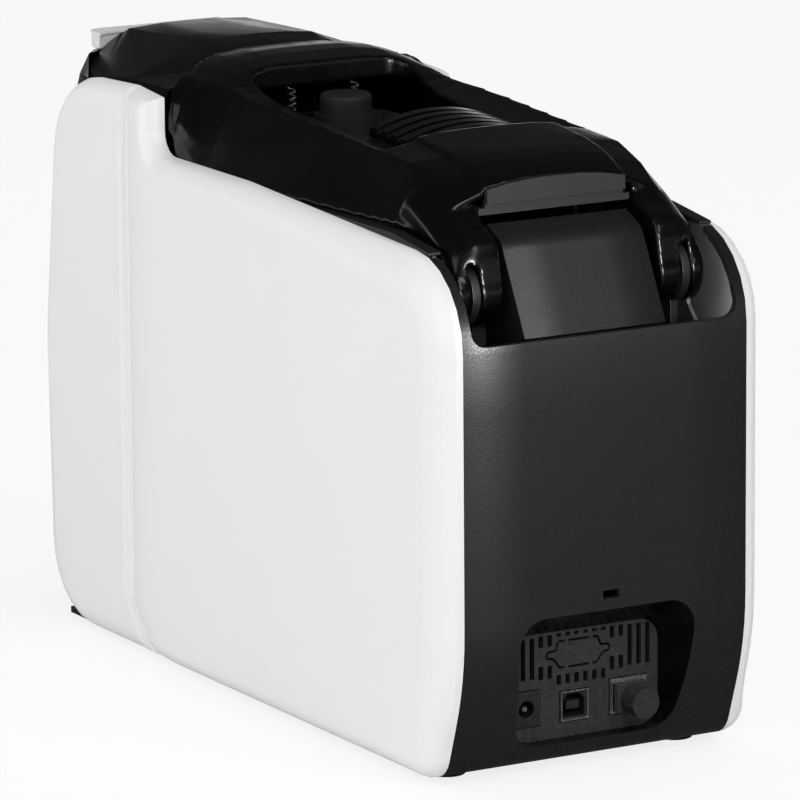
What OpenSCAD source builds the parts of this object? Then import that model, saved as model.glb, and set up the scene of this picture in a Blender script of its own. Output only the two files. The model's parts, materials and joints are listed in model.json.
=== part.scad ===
// Desktop printer for plastic ID cards.
// Millimetres, +Z up, +Y to the rear with the sockets, origin at the bottom centre.

/* [Body] */
// Width over both side covers
body_w = 140; // [136:0.5:146]
// Depth from the output tray's lip to the rear panel
body_d = 363; // [355:1:380]
// Height from the table to the crown of the front cap
body_h = 241; // [236:1:250]
// Height of the housing's underside above the table
ground_gap = 2.5; // [2:0.5:4]
// Wall of every moulded shell
wall = 2.5; // [2:0.1:3]
// Gap between pieces that only lie side by side
fit = 0.3; // [0.2:0.05:0.4]

/* [Side covers] */
// Depth of the rear part of a side cover, from its rim to its face
cover_depth = 9.5; // [8.5:0.5:11]
// How far the front part of a side cover lies below the rear part
cover_step = 3; // [2:0.25:3.5]
// Distance from the rear face to the styled step
step_back = 247.5; // [240:0.5:250]
// Rounding of the rear upright edge, measured along the side
rear_round = 15; // [12:0.5:16]
// Rounding of the upper and lower edges behind the step
edge_round = 8; // [6:0.5:9]
// Rounding of the edges ahead of the step
front_round = 6; // [4:0.5:7]

/* [Lid] */
// Distance from the rear face to the seam between lid and front cap
lid_reach = 225; // [222:0.5:228]
// How far the hood stands above the lid
hood_rise = 1.6; // [1:0.2:2]
// Gap between the hood and a lid arm
hood_gap = 3.5; // [2.5:0.5:5]
// Half width of the hand opening at its front
hand_half = 36; // [34:0.5:37]
// Depth of the skirt round the hand opening
skirt_depth = 8; // [6:0.5:9]
// Number of ribs on the thumb rest
grip_ribs = 5; // [3:1:5]

/* [Hinge] */
// Distance from the rear face to the hinge axis
hinge_back = 28; // [27:0.5:29]
// Height of the hinge axis below the crown
hinge_drop = 61; // [60:0.5:62]
// Radius of the barrels on the lid arms
barrel_r = 12; // [11:0.25:12]
// Radius of the hinge pins
pin_r = 3; // [2.5:0.25:3.5]
// Width of one lid arm
arm_w = 19; // [18:0.5:20]
// Width of the groove that takes a hinge lug
lug_groove = 4.3; // [4:0.1:5]
// Thickness of a hinge lug
lug_t = 3.4; // [3:0.1:3.6]
// Running clearance of a pin or shaft in its hole
run = 0.06; // [0.03:0.01:0.09]

/* [Sockets] */
// Width of the socket plate
plate_w = 64; // [62:0.5:66]
// Depth of the socket recess
recess_depth = 15.5; // [14:0.5:17]
// Distance between two vent slots
slot_pitch = 3.85; // [3.7:0.05:3.9]
// Width of a vent slot
slot_w = 2; // [1.6:0.1:2.2]
// Number of vent slots
slot_count = 16; // [12:1:16]

/* [Cards] */
// Width of a card
card_w = 54; // [54:0.1:54.5]
// Length of a card
card_l = 85.6; // [85.6:0.1:86]
// Height of the card path below the crown
path_drop = 105; // [104:0.5:106]
// Radius of the rollers
roller_r = 8; // [8:0.25:8.5]
// Radius of the roller shafts
shaft_r = 3; // [2.5:0.25:3]

/* [Hidden] */
$fn = 48;

// Driving planes
rear_y = body_d / 2;
front_y = -body_d / 2;
rim_x = body_w / 2 - cover_depth;
bottom_z = ground_gap;
function from_rear(d) = rear_y - d;
function from_front(d) = front_y + d;
function from_top(d) = body_h - d;
function side(x) = [x, -x];

// Inner frame plates
frame_t = 1.5;
frame_x = rim_x - 7;
gear_x = frame_x + frame_t + fit;
gear_w = rim_x - gear_x - fit;

// Seam heights of the side covers
post_z = from_top(14.5);
seam_z = from_top(41.4);
// Height of the covers' upper edge beside the front of the lid
seam_rise = from_top(37.8);
seam_y = from_rear(lid_reach);
// The seam between lid and cap is bowed over this half width
bow_half = rim_x - 0.5;
// Axis of the latch lever
lever_y = seam_y + 23;

// Hinge
hinge_y = from_rear(hinge_back);
hinge_z = from_top(hinge_drop);
arm_out = rim_x - 8;
arm_in = arm_out - arm_w;
lug_x = arm_out - 7.7;
// Half width of the hood
hood_half = arm_in - hood_gap;

// Card path
path_z = from_top(path_drop);
roller_z = path_z - roller_r;
card_half = card_w / 2 + 0.6;

/* ---- paths ---- */
function unit(v) = v / norm(v);
function turn(a) = a > 180 ? a - 360 : (a < -180 ? a + 360 : a);
function heading(v) = atan2(v[1], v[0]);
function left_of(v) = [-v[1], v[0]];

// The arc of radius r that rounds corner c between p and n
function corner(p, c, n, r, steps) =
    r == 0 ? [c] :
    let (u = unit(p - c), v = unit(n - c), half = acos(u * v) / 2, t = r / tan(half),
        o = c + unit(u + v) * r / sin(half), a = heading(c + u * t - o),
        d = turn(heading(c + v * t - o) - a))
    [for (k = [0:steps]) o + r * [cos(a + d * k / steps), sin(a + d * k / steps)]];

function wrap(i, n) = (i + n) % n;
function flat(c) = [c[0], c[1]];
// A closed path from corners [a, b, radius]
function round_path(cs, steps = 6) = let (n = len(cs))
    [for (i = [0:n - 1])
        each corner(flat(cs[wrap(i - 1, n)]), flat(cs[i]), flat(cs[wrap(i + 1, n)]), cs[i][2], steps)];
// One value per path point, taken from column k of its corner
function spread(cs, k, steps = 6) =
    [for (c = cs) each [for (j = [0:(c[2] == 0 ? 0 : steps)]) c[k]]];

// The direction and length by which each point of a closed path moves to inset it by 1
function miters(p) = let (n = len(p))
    [for (i = [0:n - 1])
        let (a = left_of(unit(p[i] - p[wrap(i - 1, n)])), b = left_of(unit(p[wrap(i + 1, n)] - p[i])))
        (a + b) / (1 + a * b)];
function inset(p, d) = let (m = miters(p)) [for (i = [0:len(p) - 1]) p[i] + m[i] * d];

/* ---- lofts ---- */
function backwards(v) = [for (k = [len(v) - 1:-1:0]) v[k]];
function ring_sides(n, m) =
    [for (r = [0:m - 2], i = [0:n - 1])
        let (a = r * n + i, b = r * n + wrap(i + 1, n))
        each [[a, b, b + n], [a, b + n, a + n]]];
// An end of a loft whose ring is a mirror image of itself: strips from side to side
function ladder(n, first) = concat(
    [for (i = [0:floor(n / 2) - 2])
        each [[first + i, first + i + 1, first + n - 2 - i], [first + i, first + n - 2 - i, first + n - 1 - i]]],
    n % 2 == 1 ? [[first + (n - 3) / 2, first + (n - 1) / 2, first + (n + 1) / 2]] : []);

// A solid through mirror-symmetric rings of equal length
module loft(rings, flip = false) {
    n = len(rings[0]);
    m = len(rings);
    faces = concat(ring_sides(n, m), [for (f = ladder(n, 0)) backwards(f)], ladder(n, (m - 1) * n));
    polyhedron([for (r = rings) each r], flip ? [for (f = faces) backwards(f)] : faces);
}

// Extrusions along X and Y of a drawing
module along_x(w, centre = true) {
    translate([centre ? -w / 2 : 0, 0, 0]) rotate([90, 0, 90]) linear_extrude(w) children();
}
module along_y(y0, y1) {
    translate([0, y1, 0]) rotate([90, 0, 0]) linear_extrude(y1 - y0) children();
}
module both_sides() {
    children();
    mirror([1, 0, 0]) children();
}
module box(lo, hi) {
    translate(lo) cube(hi - lo);
}
module rod_x(x0, x1, y, z, r) {
    translate([x0, y, z]) rotate([0, 90, 0]) cylinder(h = x1 - x0, r = r);
}
module rod_y(x, y0, y1, z, r) {
    translate([x, y1, z]) rotate([90, 0, 0]) cylinder(h = y1 - y0, r = r);
}
module rod_z(x, y, z0, z1, r) {
    translate([x, y, z0]) cylinder(h = z1 - z0, r = r);
}
// A drawing of a rectangle with rounded corners
module pill(lo, hi, r) {
    polygon(round_path([[lo[0], lo[1], r], [hi[0], lo[1], r], [hi[0], hi[1], r], [lo[0], hi[1], r]]));
}

// A compression spring standing on z0, as one swept wire
module coil(x, y, z0, z1, r, wire, turns, sides = 5, steps = 10) {
    m = turns * steps;
    rings = [for (k = [0:m])
        let (a = 360 * k / steps, z = z0 + wire + (z1 - z0 - 2 * wire) * k / m)
        [for (j = [0:sides - 1])
            let (b = 360 * j / sides, q = r + wire * cos(b))
            [x + q * cos(a), y + q * sin(a), z + wire * sin(b)]]];
    faces = concat([for (f = ring_sides(sides, m + 1)) backwards(f)],
        [[for (j = [0:sides - 1]) j]],
        [[for (j = [sides - 1:-1:0]) m * sides + j]]);
    polyhedron([for (r = rings) each r], [for (f = faces) backwards(f)]);
}

/* ---- side covers ---- */
front_face_y = from_front(42);
post_y = seam_y - 0.6;
step_y = from_rear(step_back);
step_run = 1.6;
flare_z = 24;
flare_run = 16;
// Where the upper edge would meet the front edge, and how far back their rounding reaches
brow_y = front_face_y + 12.5;
brow_r = 0.59 * (step_y - brow_y);
// Corners of the rim in the side view: [y, z, radius, rounding, 1 behind the step or 0 ahead of it]
rim_corners = [
    [step_y + flare_run + step_run, bottom_z, 0, edge_round, 1],
    [from_rear(14), bottom_z, 12, edge_round, 1],
    [rear_y, 43, 110, rear_round, 1],
    [rear_y, from_top(45.6), 34, rear_round, 1],
    [from_rear(157), seam_rise, 60, edge_round, 1],
    [post_y, seam_rise + 0.3, 9, front_round, 1],
    [post_y, from_top(15.5), 0, front_round, 1],
    [step_y + step_run, post_z + 1, 0, front_round, 1],
    [step_y, post_z + 1, 0, front_round, 0],
    [brow_y, post_z - 1.5, brow_r, front_round, 0],
    [front_face_y, 120, 160, front_round, 0],
    [front_face_y, bottom_z, 32, front_round + 4, 0],
    [step_y + flare_run, bottom_z, 0, edge_round, 0]];
rim_path = round_path(rim_corners);
rim_rounding = spread(rim_corners, 3);
rim_rear = spread(rim_corners, 4);
rear_count = len([for (v = rim_rear) if (v == 1) v]);

module side_cover() {
    n = len(rim_path);
    m = miters(rim_path);
    reach = [for (v = rim_rear) cover_depth - (v == 1 ? 0 : cover_step)];
    // Ring at angle a of the edge rounding, wall t thick
    function ring(a, t) =
        [for (i = [0:n - 1])
            let (q = rim_path[i] + m[i] * (t + rim_rounding[i] * (1 - cos(a))))
            [rim_x + (reach[i] - t) * sin(a), q[0], q[1]]];
    rings = concat([for (a = [90, 60, 30, 0]) ring(a, wall)], [for (a = [0:15:90]) ring(a, 0)]);
    last = (len(rings) - 1) * n;
    flares = [for (t = [wall, 0])
        each [[rim_x + cover_depth - t, step_y + step_run, flare_z],
              [rim_x + cover_depth - cover_step - t, step_y, flare_z]]];
    extra = len(rings) * n;
    // The flat face: behind the step, ahead of it, and the step itself
    function face(first, rear_v, front_v) =
        [concat([for (i = [0:rear_count - 1]) first + i], [rear_v]),
         concat([for (i = [rear_count:n - 1]) first + i], [front_v]),
         [first + rear_count - 1, first + rear_count, front_v, rear_v],
         [rear_v, front_v, first + n - 1, first]];
    faces = concat(ring_sides(n, len(rings)),
        [for (f = face(0, extra, extra + 1)) backwards(f)],
        face(last, extra + 2, extra + 3));
    polyhedron(concat([for (r = rings) each r], flares), [for (f = faces) backwards(f)]);
}
module right_cover() {
    color("white") side_cover();
}
module left_cover() {
    color("white") mirror([1, 0, 0]) side_cover();
}

/* ---- rear ---- */
recess_lo = [-38.5, 10];
recess_hi = [37, 62];
recess_r = 11;
plate_lo = [-plate_w / 2, 11.6];
plate_hi = [plate_w / 2, 52];
plate_r = 8;
plate_y = rear_y - recess_depth;
// Distance from the rear face at which the rear panel takes over from the base and the top rim
tray_end = 24;
cut_half = rim_x - 4;
cut_z = from_top(75.5);
slot_lock = [-2, 67.8];

// The recess between the rear face and the socket plate, grown by t
module recess_funnel(t) {
    hull() {
        along_y(rear_y, rear_y + 1)
            pill(recess_lo - [t, t], recess_hi + [t, t], recess_r + t, $fn = 32);
        along_y(plate_y - 0.5, plate_y)
            pill(plate_lo - [t, t], plate_hi + [t, t], plate_r + t, $fn = 32);
    }
}
module rear_panel() {
    color([0.09, 0.09, 0.09]) difference() {
        union() {
            along_x(2 * rim_x) difference() {
                polygon(rim_path);
                polygon(inset(rim_path, wall));
                translate([front_y, 0]) square([body_d - 36, body_h]);
                translate([front_y, 0]) square([body_d - tray_end + fit, 40]);
                translate([front_y, from_top(80)]) square([body_d - tray_end + fit, 80]);
            }
            intersection() {
                recess_funnel(wall);
                along_x(2 * rim_x) polygon(rim_path);
            }
        }
        recess_funnel(0);
        // Room for the lid arms and the hinge shield
        along_y(from_rear(60), rear_y + 1)
            pill([-cut_half, cut_z], [cut_half, body_h], 6);
        box([slot_lock[0] - 3.5, rear_y - 10, slot_lock[1] - 1.5],
            [slot_lock[0] + 3.5, rear_y + 1, slot_lock[1] + 1.5]);
    }
}

// One half of the knock-out's outline: a D-shaped plate with an ear on each side
knock_corners = [[10.7, 37.6, 1.5], [13.5, 41.4, 1], [16.5, 41.4, 1.6], [16.5, 45, 1.6], [12.5, 45, 1],
    [11.5, 48.5, 1.5], [-6.3, 48.5, 1.5], [-7.5, 45, 1], [-11.5, 45, 1.6], [-11.5, 41.4, 1.6],
    [-8.5, 41.4, 1], [-5.5, 37.6, 1.5]];
knock_w = 0.9;
data_c = [4.4, 23.2];
data_size = [12.04, 11.4];
net_lo = [-27, 17.5];
net_size = [16, 13.4];
jack_c = [25.3, 24.25];
jack_size = [12, 13.5];
jack_hole_r = 3.2;

module centred(c, s) {
    translate(c - s / 2) square(s);
}
// Lower and upper ends of vent slot i, where the knock-out splits it
function slot_spans(i) =
    let (k = slot_count - 1 - i)
    min(i, k) < 3 ? [[35, 50.6]] :
    min(i, k) < 5 ? [[34.4, 39.4], [46.6, 51]] : [[31.6, 35.4], [49.9, 51.2]];
module vent_slots() {
    for (i = [0:slot_count - 1]) {
        x = 1.2 + (i - (slot_count - 1) / 2) * slot_pitch;
        for (s = slot_spans(i)) translate([x - slot_w / 2, s[0]]) square([slot_w, s[1] - s[0]]);
    }
}
module knock_out() {
    path = round_path(knock_corners, 3);
    difference() {
        polygon(path);
        polygon(inset(path, knock_w));
        // Bridges that hold it until it is pressed out
        for (x = [-3, 7.5]) translate([x - 0.8, 35]) square([1.6, 16]);
    }
}
module io_plate() {
    // It lies against the end of the recess from inside
    color([0.25, 0.25, 0.26]) along_y(plate_y - 0.5 - wall, plate_y - 0.5) difference() {
        pill(plate_lo - [2, 2], plate_hi + [2, 2], plate_r + 2);
        centred(data_c, data_size + [2, 2] * fit);
        translate(net_lo - [fit, fit]) square(net_size + [2, 2] * fit);
        centred(jack_c, jack_size + [2, 2] * fit);
        vent_slots();
        knock_out();
    }
}
board_z = data_c[1] - data_size[1] / 2;
board_t = 1.6;
module main_board() {
    color([0.05, 0.3, 0.15])
        box([-48, from_rear(110), board_z - board_t], [48, plate_y - wall - 1, board_z]);
}
port_back = plate_y - 16;
module data_port_shell() {
    color("silver") along_y(port_back, plate_y + 0.4) difference() {
        centred(data_c, data_size);
        centred(data_c, data_size - [1.2, 1.2]);
    }
}
module data_port_insert() {
    mouth = data_size - [2.8, 2.8];
    tongue = [5.6, 3.2];
    color([0.1, 0.1, 0.1]) {
        along_y(port_back, plate_y - 0.6) difference() {
            centred(data_c, data_size - [1.2, 1.2]);
            polygon(round_path([
                [data_c[0] - mouth[0] / 2, data_c[1] - mouth[1] / 2, 0],
                [data_c[0] + mouth[0] / 2, data_c[1] - mouth[1] / 2, 0],
                [data_c[0] + mouth[0] / 2, data_c[1] + mouth[1] / 2 - 2, 0],
                [data_c[0] + mouth[0] / 2 - 2, data_c[1] + mouth[1] / 2, 0],
                [data_c[0] - mouth[0] / 2 + 2, data_c[1] + mouth[1] / 2, 0],
                [data_c[0] - mouth[0] / 2, data_c[1] + mouth[1] / 2 - 2, 0]]));
        }
        along_y(port_back, plate_y - 1.5) centred(data_c, tongue);
        along_y(port_back, port_back + 2) centred(data_c, data_size - [1.2, 1.2]);
    }
}
module network_port() {
    color("silver") along_y(port_back - 4, plate_y + 0.4) difference() {
        translate(net_lo) square(net_size);
        translate(net_lo + [1.2, 1]) square(net_size - [2.4, 3]);
    }
    color("silver") along_y(port_back - 4, port_back - 3) translate(net_lo) square(net_size);
}
plug_c = [net_lo[0] + 7.4, 23];
plug_body = [12.4, 9.6];
knob_r = 5.8;
module dust_plug() {
    color([0.15, 0.15, 0.15]) {
        along_y(plate_y - 9, plate_y + 0.8) centred([net_lo[0] + 8, net_lo[1] + 6.2], plug_body);
        along_y(plate_y + 0.8, plate_y + 3) centred([net_lo[0] + 8, net_lo[1] + 6.2], plug_body + [1, 1]);
        rod_y(plug_c[0], plate_y + 2.9, plate_y + 11.5, plug_c[1], knob_r);
    }
}
module power_jack() {
    color([0.2, 0.2, 0.2]) difference() {
        along_y(port_back, plate_y + 0.4) centred(jack_c, jack_size);
        rod_y(jack_c[0], port_back + 2, plate_y + 1, jack_c[1], jack_hole_r);
    }
}
module jack_pin() {
    color("silver") rod_y(jack_c[0], port_back + 2, plate_y - 1, jack_c[1], 1);
}

/* ---- chassis ---- */
floor_z = bottom_z + wall;
tray_front = from_front(50);
apron_z = 8;
tray_rear = from_rear(tray_end);
feet_at = [for (y = [from_rear(32), from_front(70)], x = side(rim_x - 11)) [x, y]];
foot_r = 7;
screw_at = [for (y = [from_rear(45), from_rear(140), from_rear(255)], x = side(frame_x + frame_t / 2)) [x, y]];
module base_tray() {
    color([0.1, 0.1, 0.1]) difference() {
        union() {
            box([-rim_x, tray_front, bottom_z], [rim_x, tray_rear, floor_z]);
            // Low walls that the side covers close on
            both_sides() box([rim_x - wall, bezel_back + fit, bottom_z], [rim_x, tray_rear, floor_z + 8]);
            // Apron that closes the bezel's underside, and the step up to it
            box([-48, tray_front, bottom_z], [48, tray_front + wall, apron_z + 1]);
            translate([0, 0, apron_z]) linear_extrude(wall) intersection() {
                polygon([for (q = bezel_ring(bezel_stations[0], wall + fit)) [q[0], q[1]]]);
                translate([-body_w, front_y]) square([2 * body_w, tray_front + wall - front_y]);
            }
            // Posts under the circuit board
            for (x = side(42), y = [from_rear(100), from_rear(40)]) rod_z(x, y, floor_z, board_z - board_t, 3);
            // Screw bosses under the frame plates
            for (p = screw_at) box([p[0] - 3.5, p[1] - 3.5, floor_z], [p[0] + 3.5, p[1] + 3.5, floor_z + 3]);
        }
        for (p = feet_at) rod_z(p[0], p[1], bottom_z - 1, bottom_z + 1, foot_r + fit / 2);
        for (p = screw_at) rod_z(p[0], p[1], bottom_z - 1, floor_z + 4, 1.5);
    }
}
module feet() {
    color([0.07, 0.07, 0.07]) for (p = feet_at) rod_z(p[0], p[1], 0, bottom_z + 1, foot_r);
}
module screws() {
    color("silver") for (p = screw_at) {
        rod_z(p[0], p[1], bottom_z + 0.2, floor_z + 3, 1.45);
    }
}

// Shaft positions along the card path
pick_y = from_rear(256.5);
feed_y = from_rear(201.5);
platen_y = from_rear(146.5);
spool_z = path_z + 29;
supply_y = platen_y + 40;
takeup_y = platen_y - 40;
spool_r = 17;
spool_shaft_r = 3;
motor_y = platen_y - 27.5;
motor_z = roller_z - 25.5;
frame_lo = floor_z + 3;
frame_hi = seam_z - 4.5;
module frame_plate() {
    difference() {
        polygon(round_path([[from_front(56), 60, 20], [from_front(68), frame_lo, 6], [from_rear(16), frame_lo, 6],
            [from_rear(16), from_top(90), 3], [from_rear(30), hinge_z - 14, 3],
            [from_rear(30), frame_hi, 3], [from_front(70), frame_hi, 10]]));
        for (y = [pick_y, feed_y, platen_y]) translate([y, roller_z]) circle(r = shaft_r + run);
        // Open slots that the ribbon spools drop into
        for (y = [takeup_y, supply_y]) {
            translate([y, spool_z]) circle(r = spool_shaft_r + run);
            translate([y - spool_shaft_r - run, spool_z]) square([2 * (spool_shaft_r + run), body_h]);
        }
        // Lightening holes
        for (y = [feed_y - 20, feed_y + 55, feed_y + 95]) translate([y, 58]) circle(r = 15);
    }
}
module right_frame() {
    color("gray") translate([frame_x, 0, 0]) difference() {
        along_x(frame_t, false) frame_plate();
        rod_x(-1, frame_t + 1, motor_y, motor_z, 7);
    }
}
module left_frame() {
    color("gray") translate([-frame_x - frame_t, 0, 0]) along_x(frame_t, false) frame_plate();
}

lug_r = barrel_r - 0.3;
groove_r = barrel_r + 2.6;
bracket_z = hinge_z - 34;
shield_half = hood_half + 0.3;
module hinge_bracket() {
    color([0.45, 0.45, 0.46]) {
        box([-frame_x, hinge_y - 14, bracket_z], [frame_x, hinge_y + 9, bracket_z + 3]);
        for (x = side(lug_x)) translate([x - lug_t / 2, 0, 0]) along_x(lug_t, false) difference() {
            union() {
                translate([hinge_y, hinge_z]) circle(r = lug_r);
                translate([hinge_y - 8, bracket_z]) square([11, hinge_z - bracket_z]);
            }
            translate([hinge_y, hinge_z]) circle(r = pin_r + 0.02);
        }
    }
}
module hinge_pins() {
    color("silver") both_sides() rod_x(arm_in + 1, frame_x - 0.05, hinge_y, hinge_z, pin_r);
}
shield_foot = [from_rear(7.3), hinge_z - 15.2];
shield_bend = [from_rear(24), hinge_z + 18.2];
shield_head = [from_rear(35), hinge_z + 23.2];
shield_t = 2.2;
module hinge_shield() {
    color([0.09, 0.09, 0.09]) {
        along_x(2 * shield_half) polygon(round_path([[shield_foot[0], shield_foot[1], 0],
            [shield_bend[0], shield_bend[1], 10], [shield_head[0], shield_head[1], 0],
            [shield_head[0] - 0.9, shield_head[1] - 2, 0],
            [shield_bend[0] - 2, shield_bend[1] - 1.4, 8],
            [shield_foot[0] - shield_t - 0.3, shield_foot[1], 0]]));
        // Cheeks that stand on the hinge bracket
        for (x = [-shield_half, shield_half - wall]) translate([x, 0, 0]) along_x(wall, false)
            polygon(round_path([[shield_foot[0] - 1, shield_foot[1], 0], [shield_bend[0] - 1, shield_bend[1] - 0.8, 9],
                [shield_head[0] - 0.2, shield_head[1] - 1, 0], [hinge_y - 7, hinge_z + 12, 0],
                [hinge_y - 7, bracket_z + 3, 0], [hinge_y + 8.5, bracket_z + 3, 0]]));
    }
}

// The black rim between the lid and the side covers
top_frame_z = seam_z - 3.6;
top_frame_top = seam_z + 1;
frame_open = rim_x - 10.5;
catch_y = lever_y - 5;
module top_frame() {
    color([0.08, 0.08, 0.08]) difference() {
        translate([0, 0, top_frame_z]) linear_extrude(top_frame_top - top_frame_z) difference() {
            translate([-rim_x + 0.1, seam_y - 0.4]) square([2 * rim_x - 0.2, from_rear(tray_end) - seam_y + 0.4]);
            polygon([[-frame_open, catch_y + 3.5], [frame_open, catch_y + 3.5], [frame_open, hinge_y - 46],
                [frame_x + 1.8, hinge_y - 38], [frame_x + 1.8, rear_y], [-frame_x - 1.8, rear_y],
                [-frame_x - 1.8, hinge_y - 38], [-frame_open, hinge_y - 46]]);
            translate([-14, catch_y - 10]) square([28, 9]);
        }
        // The rear ends follow the slope of the covers
        along_x(2 * rim_x) polygon([[from_rear(50), top_frame_top], [from_rear(tray_end), seam_z - 2.4],
            [rear_y, seam_z - 2.4], [rear_y, top_frame_top + 2], [from_rear(50), top_frame_top + 2]]);
    }
}

/* ---- front ---- */
// Half section of the front cap, t inside its surface, where its top lies low below the crown
function cap_half(t, low) = [[cap_x - t, cap_low], [cap_x - t, from_top(16.5) - 0.4 * t - 2.4 * low],
    [cap_x - 3.1 - 0.8 * t, from_top(13) - 0.9 * t - 2.5 * low], [24 - 0.3 * t + 1.2 * low, from_top(1.3) - t - low],
    [12, from_top(0.3) - t - low]];
cap_x = rim_x - 0.4;
cap_low = from_top(36);
function cap_ring(y, low, t) = let (h = cap_half(t, low), dz = t > 0 ? 1 : 0)
    [for (q = concat([[h[0][0], h[0][1] - dz]], [for (k = [1:4]) h[k]], [[0, body_h - t - low]],
        [for (k = [4:-1:1]) [-h[k][0], h[k][1]]], [[-h[0][0], h[0][1] - dz]])) [q[0], y, q[1]]];
// Stations of the cap: [y, drop of its top]
cap_stations = [[seam_y, 0], [from_front(103), 0], [from_front(80), 0.9], [from_front(42.5), 2.5]];
module cap_loft(t) {
    last = len(cap_stations) - 1;
    loft([for (i = [0:last]) let (c = cap_stations[i])
        cap_ring(c[0] + (t == 0 ? 0 : i == 0 ? 2 : i == last ? -1 : 0), c[1], t)], true);
}
// The seam between cap and lid bows forward in the middle
seam_bow = 24;
function seam_at(x) = seam_y - seam_bow * (1 - pow(min(1, abs(x) / bow_half), 2));
cap_side_y = from_front(81.5);
cap_front_y = from_front(43.5);
// Half width over which the cap's front edge runs straight
cap_flat = rim_x - 33.5;
function cap_front_at(x) =
    cap_front_y + (cap_side_y - cap_front_y) * pow(max(0, abs(x) - cap_flat) / (rim_x - cap_flat), 2.7);
module front_cap() {
    xs = [for (k = [-12:12]) k / 12 * rim_x];
    color([0.05, 0.05, 0.05]) {
        intersection() {
            difference() {
                cap_loft(0);
                cap_loft(wall);
            }
            linear_extrude(body_h + 1) polygon(concat([for (x = xs) [x, seam_at(x) - 0.6]],
                [for (x = backwards(xs)) [x, cap_front_at(x)]]));
        }
        // Cover plate over the light bar
        translate([0, 0, bar_top]) linear_extrude(1) intersection() {
            bar_outline(0, -1);
            translate([-bar_past, front_y]) square([body_w, body_w]);
        }
    }
}
bar_half = 42;
bar_y = from_front(36);
bar_low = from_top(10.5);
bar_top = from_top(4.8);
// The bar stands proud of the cap on one side only, as far as here past the middle
bar_past = 18;
// The light bar seen from above, pulled in by t and ending d ahead of the cap's front edge
module bar_outline(t, d) {
    xs = [for (k = [-12:12]) k / 10 * bar_half];
    difference() {
        pill([-bar_half + t, bar_y + t], [bar_half - t, cap_front_y + 20], 6);
        polygon(concat([for (x = xs) [x, cap_front_at(x) - d]], [[body_w, cap_front_y + 40], [-body_w, cap_front_y + 40]]));
    }
}
module light_ring() {
    color([0.92, 0.93, 0.94]) intersection() {
        translate([0, 0, bar_low]) linear_extrude(bar_top - bar_low) bar_outline(0.3, 0.4);
        // Its top drops under the cap's edge past the middle
        along_y(front_y, 0) polygon([[-bar_half, bar_low], [bar_half, bar_low], [bar_half, bar_top],
            [-bar_past, bar_top], [-bar_past - 3, from_top(6.4)], [-30, from_top(7)], [-bar_half, bar_low + 1.4]]);
    }
}

// Front bezel: flat in the middle, bowed back to the covers at the sides
bezel_x = rim_x - 0.2;
bezel_y = from_front(21.5);
bezel_flat = 31.5;
bezel_back = cap_side_y - fit;
// Stations [z, y at the sides, y in the middle, squareness of the corner]
bezel_stations = [
    [apron_z, cap_side_y - 1, bezel_y + 16, 1], [16, cap_side_y - 2, bezel_y + 8, 1],
    [30, cap_side_y - 6, bezel_y + 3, 1], [60, cap_side_y - 14, bezel_y, 1], [118, cap_side_y - 18, bezel_y, 1],
    [170, cap_side_y - 12, bezel_y, 1], [from_top(36), cap_side_y - 1, bezel_y, 1],
    [from_top(29), cap_side_y - 1, bezel_y + 3, 1.15], [from_top(19), cap_side_y - 1, bezel_y + 10, 1.15],
    [bar_low, cap_side_y - 1, bezel_y + 17, 1.3]];
function bezel_ring(s, t) =
    let (x0 = bezel_x - t, back = bezel_back + (t > 0 ? wall + fit : 0),
        f = [for (k = [0:6]) let (a = 15 * k) [bezel_flat + (x0 - bezel_flat) * pow(cos(a), s[3]),
            s[1] + t - (s[1] - s[2]) * pow(sin(a), s[3])]])
    concat([[-x0, back, s[0]]], [for (p = f) [-p[0], p[1], s[0]]],
        [for (p = backwards(f)) [p[0], p[1], s[0]]], [[x0, back, s[0]]]);
function shifted(s, dz) = [s[0] + dz, s[1], s[2], s[3]];
door_half = 31;
door_lo = path_z - 10;
door_hi = from_top(35);
bin_half = card_half + 2 * wall + 1;
bin_hi = 100;
button_r = 3.4;
panel_slope = atan2(14, 18.5);
panel_c = [bezel_y + 10.1, from_top(19.2)];
module bezel_skin() {
    last = len(bezel_stations) - 1;
    difference() {
        loft([for (s = bezel_stations) bezel_ring(s, 0)], true);
        loft([for (i = [0:last]) bezel_ring(i == 0 ? shifted(bezel_stations[0], -1) :
            i == last ? shifted(bezel_stations[last], 1) : bezel_stations[i], wall)], true);
    }
}
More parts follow.
